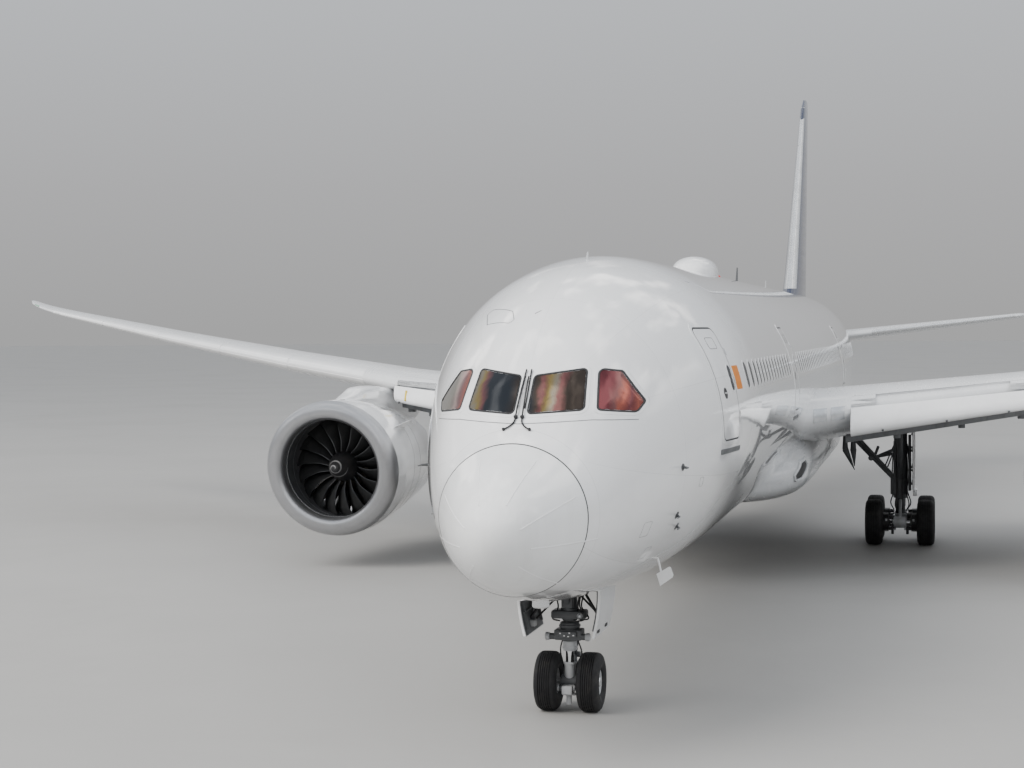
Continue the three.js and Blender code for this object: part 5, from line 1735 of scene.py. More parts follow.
def make_nacelle_fittings():
    """The chine, a dark vent on top, the cowl's seams, the latches along its keel and its small hatches."""
    turn = radians(CHINE.turn)
    rings = []
    for i in range(13):
        t = i / 12
        station = mix(CHINE.start, CHINE.end, t)
        foot = COWL_LINE(station)
        height = 0.02 + CHINE.height * sin(min(t / 0.75, 1.0) * pi / 2) ** 1.2
        ring = []
        for share, width in CHINE_SECTION:
            radius = foot + height * share if share else foot - CHINE.foot
            across = width * CHINE.half
            ring.append(at(ENGINE.x - radius * sin(turn) + across * cos(turn), station,
                           ENGINE.z + radius * cos(turn) + across * sin(turn)))
        rings.append(ring)
    dress_both(loft(rings), white_paint, "nacelle_chine", sharp=40)
    seams = [strip_round(station, 0.014) for station in COWL_SEAMS]
    path = [Vector((180, mix(KEEL_SEAM.start, KEEL_SEAM.end, i / 30))) for i in range(31)]
    seams.append(strip(path, KEEL_SEAM.width, nacelle_skin, 0.0015))
    # The vent is a flat black plate: painted shade of its opening.
    vent = rectangle(COWL_VENT.turn, COWL_VENT.station, COWL_VENT.width, COWL_VENT.length, 0.05, 4, 1)
    seams.append(plate(vent, nacelle_skin, 0.003, inner=(0.5,)))
    dress_both(seams, seal_black, "nacelle_seams")
    plates = []
    for i in range(LATCHES.count):
        station = LATCHES.start + LATCHES.pitch * i
        outline = rectangle(180, station, LATCHES.width, LATCHES.length, 0.05, 3, 5)
        plates.append(plate(outline, nacelle_skin, 0.012, inner=(0.5,)))
    dress_both(plates, edge_metal, "nacelle_latches")
    hatches = []
    for degrees, station, width, length in COWL_HATCHES:
        outline = rectangle(degrees, station, width, length, 0.3, 4, 4)
        hatches.append(band(outline, grown(outline, -0.012), nacelle_skin, 0.002))
    dress_both(hatches, gear_paint, "nacelle_hatch_edges")


def strip_round(station, width):
    """A thin dark line round the cowl at one station."""
    rings = []
    for degrees in range(8, 353, 4):
        rings.append([nacelle_skin(degrees, station + shift, lift) for shift, lift in (
            (-width / 2, -0.01), (-width / 2, 0.0015), (width / 2, 0.0015), (width / 2, -0.01))])
    return loft(rings)


make_cowl()
make_lip()
make_intake_lining()
make_fan()
make_core()
make_pylon()
make_nacelle_fittings()


# Landing gear. Rows of rods are (start, end, radius), places are (x, station, height).
NOSE_GEAR = Dims(x=0.0, station=5.55, tyre=0.508, width=0.40, rim=0.222, offset=0.37, axle=0.055)
MAIN_GEAR = Dims(x=4.96, station=31.38, spread=0.75, tyre=0.686, width=0.53, rim=0.308,
                 offset=0.76, axle=0.075)
TYRE_WALL = ((0.0, 0.72), (0.05, 0.80), (0.16, 0.90), (0.32, 0.975), (0.46, 0.985),
             (0.48, 0.965), (0.66, 0.955), (0.82, 0.875), (0.92, 0.74), (0.965, 0.62))
TREAD_HALF = 0.56
GROOVES = 6
GROOVE = Dims(half=0.008, depth=0.018)
CROWN = 0.014
TYRE_SIDES = 72


def tyre_profile(gear):
    """A tyre's section, (radius, distance from its middle), with a grooved tread."""
    half = gear.width / 2
    wall = [(mix(gear.rim, gear.tyre, rise), wide * half) for rise, wide in TYRE_WALL]
    tread = []
    for i in range(GROOVES):
        place = mix(TREAD_HALF, -TREAD_HALF, (i + 0.5) / GROOVES) * half
        top = gear.tyre - CROWN * (place / half) ** 2
        for shift, drop in ((1.0, 0.0), (0.6, 1.0), (-0.6, 1.0), (-1.0, 0.0)):
            tread.append((top - drop * GROOVE.depth, place + shift * GROOVE.half))
    other = [(radius, -wide) for radius, wide in reversed(wall)]
    return [*wall, *tread, *other]


def wheel_profile(gear):
    """A wheel's section through its rim, its dished web and its hub, from its outer face."""
    rim, bead, hub = gear.rim, 0.36 * gear.width, 1.5 * gear.axle
    outer = ((hub, 0.86), (1.25 * hub, 0.80), (0.50 * rim, 0.42), (0.72 * rim, 0.34), (0.84 * rim, 0.62),
             (0.92 * rim, 0.90), (1.06 * rim, 1.02), (1.10 * rim, 0.98), (1.09 * rim, 0.92),
             (0.99 * rim, 0.88))
    inner = ((0.99 * rim, -0.88), (1.09 * rim, -0.92), (1.10 * rim, -1.0), (0.96 * rim, -0.98),
             (0.90 * rim, -0.6), (0.80 * rim, 0.06), (0.55 * rim, 0.10), (hub, 0.10))
    return [(radius, along * bead) for radius, along in (*outer, *inner)]


def ring_of(place, axis, radius, count, far, length, size, sides=12):
    """Small bars set round an axis, parallel to it."""
    along = Vector(axis).normalized()
    across = along.orthogonal().normalized()
    up = along.cross(across)
    made = []
    for a in angles(count):
        foot = place + SCALE * (along * far + radius * (across * cos(a) + up * sin(a)))
        made.append(bar(foot, foot + SCALE * along * length, size, sides=sides, edge=0.004))
    return join(made)


WEB_HOLES = 9
TIE_BOLTS = 12


def make_wheel(gear, x, station, hand):
    """One wheel with holes through its web, its bright bolts and hub cap, and its tyre."""
    place, axis = at(x, station, gear.tyre), Vector((hand, 0, 0))
    rim, bead = gear.rim, 0.36 * gear.width
    profile = wheel_profile(gear)
    wheel = spun([*profile, profile[0]], place, axis, TYRE_SIDES)
    cut(wheel, ring_of(place, axis, 0.64 * rim, WEB_HOLES, -0.1 * bead, 0.9 * bead, 0.09 * rim, 16))
    bolts = ring_of(place, axis, 0.86 * rim, TIE_BOLTS, 0.60 * bead, 0.16 * bead, 0.035 * rim, 6)
    cap = ((0, 0.5), (gear.axle * 1.42, 0.5), (gear.axle * 1.42, 1.02), (gear.axle * 1.2, 1.12),
           (gear.axle * 0.5, 1.16), (0, 1.16))
    cap = spun([(radius, along * bead) for radius, along in cap], place, axis, 28)
    nuts = ring_of(place, axis, 0.40 * rim, 8, 0.50 * bead, 0.10 * bead, 0.03 * rim, 6)
    section = tyre_profile(gear)
    tyre = spun([*section, section[0]], place, axis, TYRE_SIDES)
    return paint(wheel, wheel_grey), join([bolts, nuts, cap]), tyre


def rods(rows, sides=20):
    return join([bar(at(*start), at(*end), radius, sides=sides) for start, end, radius in rows])


def collars(x, station, rows):
    """Rings on an upright leg: each row is (low, high, radius)."""
    return join([bar(at(x, station, low), at(x, station, high), radius, sides=32, edge=0.015)
                 for low, high, radius in rows])


def beam(start, end, wide, deep, waist=0.45):
    """A forged strut with an I section, wider across than it is deep."""
    along = (end - start).normalized()
    side = Vector((0, 1, 0)) - along * along.y
    side = side.normalized() * wide / 2 * SCALE
    up = along.cross(side).normalized() * deep / 2 * SCALE
    outline = ((-1, -1), (1, -1), (1, -0.45), (waist, -0.3), (waist, 0.3), (1, 0.45), (1, 1),
               (-1, 1), (-1, 0.45), (-waist, 0.3), (-waist, -0.3), (-1, -0.45))
    rings = []
    for t, grow in ((0, 0.55), (0.03, 0.9), (0.1, 0.8), (0.85, 1.0), (0.97, 1.1), (1, 0.7)):
        rings.append([start.lerp(end, t) + side * a * grow + up * b * min(grow, 1) for a, b in outline])
    return loft(rings)


def torque_links(x, station, hand, upper, elbow, lower, wide):
    """Two hinged V-shaped links between a cylinder and its piston. Places are (reach, height)."""
    parts = []
    for reach, height in (upper, lower):
        tip = at(x, station + hand * elbow[0], elbow[1])
        for side in (-1, 1):
            foot = at(x + side * wide, station + hand * reach, height)
            parts.append(bar(foot, tip, 0.045, 0.035, 14))
        parts.append(bar(at(x - wide - 0.04, station + hand * reach, height),
                         at(x + wide + 0.04, station + hand * reach, height), 0.055, sides=18))
    parts.append(bar(at(x - 0.1, station + hand * elbow[0], elbow[1]),
                     at(x + 0.1, station + hand * elbow[0], elbow[1]), 0.05, sides=18))
    return join(parts)


def make_nose_leg():
    """The nose leg's fixed part: cylinder, trunnion, drag brace, steering block, lamps and hoses."""
    s = NOSE_GEAR.station
    leg = join([
        collars(0, s, ((1.56, 2.85, 0.135), (1.95, 2.02, 0.155), (2.28, 2.36, 0.16), (1.74, 1.78, 0.155))),
        rods((((-0.55, s, 2.66), (0.55, s, 2.66), 0.085), ((0, s - 0.05, 1.72), (0, 4.80, 2.6), 0.06),
              ((-0.45, 4.80, 2.6), (0.45, 4.80, 2.6), 0.05),
              ((-0.12, s - 0.1, 2.0), (-0.35, 4.85, 2.58), 0.035),
              ((0.12, s - 0.1, 2.0), (0.35, 4.85, 2.58), 0.035),
              ((-0.17, s + 0.1, 2.3), (-0.52, s + 0.1, 2.62), 0.03),
              ((0.17, s + 0.1, 2.3), (0.52, s + 0.1, 2.62), 0.03))),
        slab(at(-0.30, s - 0.16, 1.60), at(0.30, s + 0.16, 1.74), 0.03),
        slab(at(-0.10, s - 0.24, 1.80), at(0.10, s - 0.12, 1.98), 0.02),
        slab(at(-0.22, s - 0.20, 2.06), at(0.22, s - 0.12, 2.20), 0.02)])
    hoses = join([hose([at(x, s + y, 2.5), at(1.5 * x, s + y - 0.04, 2.1), at(1.2 * x, s + y, 1.8),
                        at(1.9 * x, s + y + 0.02, 1.6), at(x, s + y, 1.56)], 0.014, 8)
                  for x, y in ((0.14, -0.12), (-0.15, -0.1), (0.12, 0.14), (-0.12, 0.15), (0.17, 0.02))])
    shells, lenses = [], []
    for x, z, radius in ((0.25, 2.13, 0.085), (-0.25, 2.13, 0.085), (0.23, 1.68, 0.045)):
        shells.append(spun(((0, 0), (0.6 * radius, 0.0), (radius, 0.07), (radius, 0.13),
                            (0.9 * radius, 0.13), (0.85 * radius, 0.10), (0, 0.10)),
                           at(x, s - 0.16, z), (0, -1, 0), 28))
        lenses.append(spun(((0, 0), (0.86 * radius, 0), (0.86 * radius, 0.02),
                            (0.5 * radius, 0.035), (0, 0.04)),
                           at(x, s - 0.256, z), (0, -1, 0), 28))
    dress(leg, gear_dark, "nose_leg_skin", replaces=["nose_gear_leg"], sharp=40)
    dress(hoses, hose_black, "nose_leg_hoses")
    dress(shells, gear_paint, "nose_lamp_shells")
    dress(lenses, lamp_glass, "nose_lamps")


def make_nose_fork():
    """The steered part of the nose leg: collar, steering jacks, piston, tow fitting and torque links."""
    s, axle = NOSE_GEAR.station, NOSE_GEAR.tyre
    dark = join([
        collars(0, s, ((1.22, 1.536, 0.165), (1.28, 1.33, 0.185), (1.44, 1.50, 0.185))),
        slab(at(-0.24, s - 0.20, 1.24), at(0.24, s + 0.12, 1.42), 0.025),
        slab(at(-0.16, s - 0.26, 1.30), at(0.16, s - 0.19, 1.40), 0.015),
        rods((((-0.36, s - 0.14, 1.30), (0.34, s - 0.14, 1.30), 0.055),
              ((-0.15, s, axle), (0.15, s, axle), 0.115),
              ((-0.16, s - 0.2, 0.42), (0.10, s - 0.2, 0.42), 0.05)), 24),
        torque_links(0, s, 1, (0.12, 1.20), (0.42, 0.90), (0.06, 0.62), 0.09)])
    hoses = join([hose([at(0.16, s - 0.1, 1.24), at(0.22, s - 0.06, 1.0), at(0.13, s - 0.04, 0.8),
                        at(0.15, s, 0.62)], 0.014, 8),
                  hose([at(-0.14, s + 0.1, 1.24), at(-0.2, s + 0.16, 1.0), at(-0.12, s + 0.1, 0.7)],
                       0.012, 8)])
    light = join([
        collars(0, s, ((1.04, 1.22, 0.12), (1.08, 1.12, 0.135), (0.56, 0.82, 0.10), (0.80, 0.84, 0.115))),
        rods((((-0.40, s - 0.14, 1.30), (-0.32, s - 0.14, 1.30), 0.07),
              ((0.30, s - 0.14, 1.30), (0.38, s - 0.14, 1.30), 0.07),
              ((-0.18, s - 0.2, 0.42), (-0.15, s - 0.2, 0.42), 0.055),
              ((0.09, s - 0.2, 0.42), (0.13, s - 0.2, 0.42), 0.055)), 24),
        slab(at(-0.09, s - 0.30, 0.33), at(0.09, s, 0.47), 0.008),
        slab(at(-0.11, s - 0.17, 0.29), at(0.125, s - 0.09, 0.335), 0.01),
        slab(at(-0.04, s - 0.16, 0.13), at(0.05, s - 0.10, 0.30), 0.01)])
    piston = bar(at(0, s, 0.6), at(0, s, 1.10), 0.072, sides=32)
    dots = join([slab(at(x, s - 0.275, z), at(x + 0.03, s - 0.255, z + 0.02), 0.004)
                 for x, z in ((-0.13, 1.36), (-0.06, 1.32), (0.03, 1.37), (0.10, 1.33), (0.01, 1.31))])
    dress(dark, gear_dark, "nose_fork_skin", "nose_steering", ["nose_gear_fork"], 40)
    dress(light, gear_paint, "nose_fork_fittings", "nose_steering", sharp=40)
    dress(piston, chrome, "nose_piston", "nose_steering")
    dress(hoses, hose_black, "nose_fork_hoses", "nose_steering")
    dress(dots, white_paint, "nose_fork_labels", "nose_steering")


def make_nose_wheels():
    s = NOSE_GEAR.station
    wheels, metals = [], []
    for side, hand in SIDES:
        wheel, metal, tyre = make_wheel(NOSE_GEAR, hand * NOSE_GEAR.offset, s, hand)
        wheels.append(wheel)
        metals.append(metal)
        dress(tyre, tyre_rubber, f"nose_tyre_skin_{side}", "nose_wheel_pair", [f"nose_tyre_{side}"], 30)
    half = NOSE_GEAR.offset + 0.3 * NOSE_GEAR.width
    metals.append(bar(at(-half, s, NOSE_GEAR.tyre), at(half, s, NOSE_GEAR.tyre), NOSE_GEAR.axle, sides=28))
    dress(wheels, None, "nose_wheel_skins", "nose_wheel_pair", ["nose_wheels"], 35, "grey_paint")
    dress(metals, edge_metal, "nose_wheel_bolts", "nose_wheel_pair", sharp=35)


NOSE_DOOR = Dims(start=4.62, end=6.02, hinge_x=0.70, hinge_z=2.45, foot_x=0.60, foot_z=1.40, thickness=0.04)
DOOR_RIBS = (4.80, 5.32, 5.84)
# How far down a nose door its dark inner pan reaches
PAN_SHARE = 0.985


def door_point(station, share, inward=0.0):
    """A place on the port nose door: the share runs from its hinge to its foot."""
    bulge = 0.05 * sin(share * pi)
    x = mix(NOSE_DOOR.hinge_x, NOSE_DOOR.foot_x, share) + bulge - inward
    return at(x, station, mix(NOSE_DOOR.hinge_z, NOSE_DOOR.foot_z, share))


def make_nose_doors():
    """Two hanging doors with a pale outer skin, dark ribbed inner faces and their rods."""
    start, end, thick = NOSE_DOOR.start, NOSE_DOOR.end, NOSE_DOOR.thickness
    shares = [i / 10 for i in range(11)]
    rings = []
    for station, shrink in ((start, 0.02), (start + 0.02, 0.0), (end - 0.02, 0.0), (end, 0.02)):
        outer = [door_point(station, mix(shrink, 1 - shrink, t)) for t in shares]
        inner = [door_point(station, mix(shrink, 1 - shrink, t), thick) for t in reversed(shares)]
        rings.append(outer + inner)
    door = loft(rings)
    pan, ribs = [], []
    for station in (start + 0.06, end - 0.06):
        pan.append([door_point(station, PAN_SHARE * t, thick - 0.004) for t in shares]
                   + [door_point(station, PAN_SHARE * t, thick + 0.006) for t in reversed(shares)])
    for station in DOOR_RIBS:
        rings = [[door_point(station - 0.02, t, thick - 0.01), door_point(station + 0.02, t, thick - 0.01),
                  door_point(station + 0.014, t, thick + 0.05),
                  door_point(station - 0.014, t, thick + 0.05)]
                 for t in shares[:-1]]
        ribs.append(loft(rings))
    for share in (0.3, 0.62):
        ribs.append(bar(door_point(start + 0.1, share, thick + 0.02),
                        door_point(end - 0.1, share, thick + 0.02), 0.022))
    fittings = [bar(door_point(station, 0.05, thick), door_point(station, 0.05, thick + 0.10), 0.03)
                for station in (4.75, 5.3, 5.9)]
    fittings.append(slab(door_point(5.1, 0.9, thick + 0.08), door_point(5.25, 0.8, thick), 0.01))
    links = rods((((0.62, 5.20, 1.62), (0.28, 5.34, 2.12), 0.024),
                  ((0.64, 5.36, 1.95), (0.30, 5.40, 2.46), 0.02),
                  ((0.61, 5.60, 1.55), (0.20, 5.56, 1.98), 0.018)), 14)
    marks = join([slab(door_point(station, 0.93, 0.004), door_point(station + 0.16, 0.88, -0.006), 0.002)
                  for station in (4.8, 5.5)])
    dress_both(door, white_paint, "nose_door_skin", replaces=["nose_gear_door_"], sharp=35)
    dress_both([loft(pan), *ribs], gear_dark, "nose_door_ribs", sharp=35)
    dress_both(fittings, gear_paint, "nose_door_hinges")
    dress_both(links, hose_black, "nose_door_rods")
    dress_both(marks, seal_black, "nose_door_marks")


def make_nose_bay():
    """Frames, pipes and boxes on the walls of the nose wheel's bay."""
    half, top = NOSE_BAY.half, NOSE_BAY.top
    parts = []
    for i in range(6):
        station = mix(NOSE_BAY.start + 0.08, NOSE_BAY.end - 0.08, i / 5)
        parts.append(slab(at(-half, station - 0.015, top - 0.09),
                          at(half, station + 0.015, top - 0.005), 0.004))
        for hand in (-1, 1):
            parts.append(slab(at(hand * (half - 0.035) - 0.03, station - 0.015, 2.35),
                              at(hand * (half - 0.035) + 0.03, station + 0.015, top - 0.02), 0.004))
    for hand in (-1, 1):
        parts.append(slab(at(hand * 0.5 - 0.1, 4.62, 2.62), at(hand * 0.5 + 0.1, 4.80, 2.90), 0.02))
    pipes = [hose([at(x, 4.60, z), at(x + 0.03, 5.2, z - 0.02), at(x, 5.7, z), at(x - 0.02, 6.1, z + 0.02)],
                  0.014, 8)
             for x, z in ((0.60, 2.75), (0.60, 2.65), (-0.60, 2.8), (-0.59, 2.55),
                          (0.2, 2.93), (-0.25, 2.93))]
    # The frames take the bay's painted shade.
    dress(parts, bay_dark, "nose_bay_frames")
    dress(pipes, edge_metal, "nose_bay_pipes")


def make_main_leg():
    """A main leg: cylinder, side stay with its lock links, drag brace, torque links and hoses."""
    x, s = MAIN_GEAR.x, MAIN_GEAR.station
    leg = join([
        collars(x, s, ((1.36, 4.4, 0.20), (1.36, 1.50, 0.215), (1.9, 2.0, 0.215), (2.7, 2.82, 0.215),
                       (1.10, 1.40, 0.15), (0.885, 1.12, 0.135))),
        beam(at(x - 0.1, s, 1.86), at(3.55, s, 3.25), 0.26, 0.20),
        beam(at(x - 0.1, s, 2.72), at(4.08, s, 2.58), 0.14, 0.10),
        rods((((x, s, 1.80), (x, s - 1.9, 4.3), 0.085), ((x, s - 0.1, 2.92), (4.25, s, 2.60), 0.05),
              ((4.08, s - 0.14, 2.57), (4.08, s + 0.14, 2.57), 0.085),
              ((4.30, s, 2.93), (4.21, s, 2.68), 0.045),
              ((4.50, s - 0.1, 2.33), (4.76, s - 0.1, 2.95), 0.022),
              ((4.58, s - 0.12, 2.30), (4.82, s - 0.12, 2.95), 0.022),
              ((x - 0.16, s - 0.16, 1.46), (x - 0.16, s - 0.16, 3.1), 0.05),
              ((x - 0.28, s, 1.55), (x - 0.12, s, 1.50), 0.09))),
        slab(at(x - 0.30, s - 0.14, 1.46), at(x - 0.12, s + 0.14, 2.0), 0.03),
        torque_links(x, s, 1, (0.16, 1.46), (0.55, 1.16), (0.10, 0.96), 0.11)])
    hoses = [hose([at(x + a, s + b, 3.0), at(x + 1.25 * a, s + 1.25 * b, 2.2), at(x + a, s + b, 1.6),
                   at(x + 1.5 * a, s + 1.9 * b, 1.2), at(x + a, s + b, 0.98)], 0.018, 8)
             for a, b in ((0.17, -0.15), (-0.10, -0.22), (0.05, -0.24), (0.2, 0.12), (-0.2, 0.14))]
    # The legs take the dark grey as painted shade of the shadow under the aircraft.
    dress_both(leg, gear_dark, "main_leg_skin", replaces=["main_gear_leg_"], sharp=40)
    dress_both(hoses, hose_black, "main_leg_hoses")


BRAKE = Dims(radius=0.285, ribs=5, near=0.30, far=0.52, pistons=7)


def brake_stack(x, station, hand):
    """A ribbed brake drum with its ring of pistons and a hanging torque bar."""
    z = MAIN_GEAR.tyre
    place, axis = at(x, station, z), Vector((hand, 0, 0))
    profile = [(0.12, BRAKE.near)]
    for i in range(BRAKE.ribs):
        low = mix(BRAKE.near + 0.04, BRAKE.far, i / BRAKE.ribs)
        high = low + 0.6 * (BRAKE.far - BRAKE.near - 0.04) / BRAKE.ribs
        profile += [(BRAKE.radius - 0.03, low), (BRAKE.radius, low), (BRAKE.radius, high),
                    (BRAKE.radius - 0.03, high)]
    profile += [(0.12, BRAKE.far), (0.12, BRAKE.near)]
    pistons = ring_of(place, axis, 0.215, BRAKE.pistons, BRAKE.near - 0.09, 0.14, 0.034)
    hanger = slab(at(x + hand * 0.22 - 0.04, station - 0.06, z - 0.36),
                  at(x + hand * 0.22 + 0.04, station + 0.06, z), 0.015)
    return join([spun(profile, place, axis, 48), pistons, hanger])


def make_bogie():
    """The bogie beam with its axles' hubs, brakes, rods below and wiring."""
    x, s, z = MAIN_GEAR.x, MAIN_GEAR.station, MAIN_GEAR.tyre
    rows = (s - MAIN_GEAR.spread, s + MAIN_GEAR.spread)
    parts = [rods((((x, rows[0], z), (x, rows[1], z), 0.135),
                   ((x - 0.15, rows[0], z - 0.22), (x - 0.15, rows[1], z - 0.22), 0.03),
                   ((x + 0.15, rows[0], z - 0.22), (x + 0.15, rows[1], z - 0.22), 0.03),
                   ((x, s - 0.12, 1.3), (x, rows[0] + 0.18, z + 0.1), 0.05))),
             slab(at(x - 0.15, s - 0.2, z), at(x + 0.15, s + 0.2, 0.884), 0.03)]
    brakes, wires, lights = [], [], []
    for station in rows:
        parts.append(bar(at(x - 0.19, station, z), at(x + 0.19, station, z), 0.17, sides=32, edge=0.02))
        for hand in (-1, 1):
            brakes.append(brake_stack(x, station, hand))
            wires.append(hose([at(x + 0.12 * hand, s, 0.9), at(x + 0.2 * hand, mix(s, station, 0.5), 0.92),
                               at(x + 0.3 * hand, station, z + 0.24)], 0.014, 8))
            low = at(x + 0.40 * hand - 0.03, station - 0.34, z + 0.06)
            lights.append(slab(low, low + at(0.06, LENGTH / 2 + 0.05, 0.07), 0.01))
    dress_both(parts, gear_paint, "bogie_skin", replaces=["bogie_"], sharp=40)
    dress_both(brakes, hose_black, "brakes", sharp=35, slot="hot_metal")
    dress_both(wires, hose_black, "bogie_wires")
    dress_both(lights, gear_paint, "brake_boxes")


def make_main_wheels():
    x, s = MAIN_GEAR.x, MAIN_GEAR.station
    for row, hand_of_row in (("front", -1), ("rear", 1)):
        station = s + hand_of_row * MAIN_GEAR.spread
        wheels, metals = [], []
        for place, hand in (("outer", 1), ("inner", -1)):
            wheel, metal, tyre = make_wheel(MAIN_GEAR, x + hand * MAIN_GEAR.offset, station, hand)
            wheels.append(wheel)
            metals.append(metal)
            dress_both(tyre, tyre_rubber, f"{row}_{place}_tyre_skin", f"{row}_wheel_pair_",
                       [f"main_tyre_{row}_{place}_"], 30)
        half = MAIN_GEAR.offset + 0.3 * MAIN_GEAR.width
        z = MAIN_GEAR.tyre
        metals.append(bar(at(x - half, station, z), at(x + half, station, z), MAIN_GEAR.axle, sides=28))
        dress_both(wheels, None, f"{row}_wheel_skins", f"{row}_wheel_pair_", [f"main_wheels_{row}_"], 35,
                   "grey_paint")
        dress_both(metals, edge_metal, f"{row}_wheel_bolts", f"{row}_wheel_pair_", sharp=35)


LEG_DOOR = Dims(x=5.36, start=30.72, end=32.0, foot=1.60, top=4.1, thickness=0.05)


def make_leg_door():
    """The narrow door on the outside of a main leg, ribbed within, and its links."""
    x, start, end, foot, top, thickness = vars(LEG_DOOR).values()
    half = thickness / 2
    heights = [mix(foot, top, i / 8) for i in range(9)]
    rings = []
    for station, shrink in ((start, 0.02), (start + 0.03, 0.0), (end - 0.03, 0.0), (end, 0.02)):
        outer = [at(x + half + 0.03 * sin((z - foot) / (top - foot) * pi), station,
                    min(max(z, foot + shrink), top - shrink)) for z in heights]
        inner = [at(x - half, station, min(max(z, foot + shrink), top - shrink)) for z in reversed(heights)]
        rings.append(outer + inner)
    inside = [slab(at(x - half - 0.012, start + 0.06, foot + 0.06),
                   at(x - half + 0.004, end - 0.06, top - 0.1), 0.002)]
    for i in range(5):
        z = mix(foot + 0.2, top - 0.3, i / 4)
        inside.append(slab(at(x - half - 0.05, start + 0.05, z),
                           at(x - half + 0.01, end - 0.05, z + 0.05), 0.01))
    s, leg = MAIN_GEAR.station, MAIN_GEAR.x
    inside.append(rods((((leg + 0.1, s, 2.2), (x - half, s, 2.2), 0.03),
                        ((leg + 0.1, s, 2.9), (x - half, s, 2.9), 0.03),
                        ((leg + 0.28, s - 0.3, foot), (leg + 0.28, s - 0.3, 3.3), 0.045))))
    foot_plate = slab(at(x - 0.03, start + 0.1, foot - 0.14), at(x + 0.10, end - 0.1, foot + 0.06), 0.02)
    dress_both(loft(rings), white_paint, "leg_door_skin", replaces=["main_gear_door_"], sharp=35)
    dress_both(inside, gear_dark, "leg_door_ribs", sharp=35)
    dress_both(foot_plate, white_paint, "leg_door_foot")


JACKING_PADS = ((0.0, 3.3, 2.12), (0.0, 47.0, 2.36))


def make_jacking_pads():
    pads = []
    for x, station, low in JACKING_PADS:
        pads.append(spun(((0, 0.14), (0.14, 0.14), (0.14, 0.02), (0.12, 0.0), (0.05, 0.0),
                          (0.04, 0.02), (0, 0.02)),
                         at(x, station, low), (0, 0, 1), 24))
    dress(pads, edge_metal, "jacking_pads")


make_nose_leg()
make_nose_fork()
make_nose_wheels()
make_nose_doors()
make_nose_bay()
make_main_leg()
make_bogie()
make_main_wheels()
make_leg_door()
make_jacking_pads()


# Small fittings of the body, wings and tail


def thin_line(points, width, skin, height=0.002, spacing=0.08):
    return strip(polyline(points, spacing), width, skin, height)


def make_wipers():
    """Two parked wipers on the post between the windshields, with curled feet."""
    arms = []
    for hand in (-1, 1):
        arms.append(hose([nose_skin(hand * x, z, lift) for x, z, lift in (
            (0.050, 5.22, 0.03), (0.045, 5.38, 0.06), (0.035, 5.60, 0.06), (0.025, 5.80, 0.045))],
                         0.013, 8))
        arms.append(hose([nose_skin(hand * x, z, 0.022)
                          for x, z in ((0.062, 5.34), (0.055, 5.6), (0.04, 5.92))],
                         0.012, 8))
        arms.append(hose([nose_skin(hand * x, z, 0.02) for x, z in (
            (0.050, 5.24), (0.06, 5.15), (0.12, 5.08), (0.20, 5.04))], 0.013, 8))
        for x, z, radius in ((0.050, 5.22, 0.032), (0.20, 5.04, 0.022)):
            foot = nose_skin(hand * x, z, -0.01)
            arms.append(bar(foot, nose_skin(hand * x, z, 0.045), radius, sides=18))
    dress(arms, seal_black, "windshield_wipers")


RADOME_STRIPS = (((0.41, 3.71), (1.00, 4.09)), ((0.33, 3.16), (0.67, 2.78)), ((0.20, 4.05), (0.42, 4.62)),
                 ((0.52, 3.42), (1.22, 3.42)))
SEAM_RING = Dims(width=0.022, lift=0.002)
HATCH = ((-1.10, 4.25), (-1.29, 5.04), (-0.64, 4.21), (-0.48, 3.68))
# Small plates on the port side of the nose: station, height, width, tall
NOSE_PLATES = ((3.3, 3.4, 0.30, 0.24), (3.9, 2.95, 0.26, 0.20), (7.5, 2.6, 0.45, 0.30),
               (9.2, 2.75, 0.5, 0.36), (5.2, 4.0, 0.16, 0.16), (10.9, 3.1, 0.36, 0.36))


def make_nose_lines():
    """The radome's seam and strips, the line below the windshields, a hatch outline and access panels."""
    rings = []
    for a in angles(160):
        rings.append([hull_point(RADOME_SEAM + shift, a, lift) for shift, lift in (
            (-SEAM_RING.width / 2, -0.02), (-SEAM_RING.width / 2, SEAM_RING.lift),
            (SEAM_RING.width / 2, SEAM_RING.lift), (SEAM_RING.width / 2, -0.02))])
    seam = loft([*rings, rings[0]], cap=False)
    dress(seam, seal_black, "radome_seam", sharp=30)
    strips = []
    for start, end in RADOME_STRIPS:
        for hand in (-1, 1):
            ends = [(hand * x, z) for x, z in (start, end)]
            strips.append(thin_line(ends, 0.022, nose_skin, 0.005, 0.05))
    dress(strips, white_paint, "radome_strips")
    lines = [thin_line(((-1.62, 5.14), (-1.05, 5.17), (0.0, 5.13), (1.05, 5.17), (1.62, 5.14)),
                       0.010, nose_skin),
             band(rounded(HATCH, 0.06, 4, 0.1), grown(rounded(HATCH, 0.06, 4, 0.1), -0.012),
                  crown_skin, 0.002),
             thin_line(((-0.20, 3.90), (-0.11, 3.98)), 0.014, crown_skin)]
    for station, z, width, tall in NOSE_PLATES:
        outline = rectangle(station, z, width, tall, 0.03, 4, 0.1)
        made = band(outline, grown(outline, -0.008), side_skin, 0.0015)
        lines += [made, duplicate(made, MIRROR)]
    dress(lines, gear_dark, "nose_panel_lines")


PROBES = ((4.28, 4.31, 0.10), (4.47, 3.51, 0.06), (4.75, 3.30, 0.06))


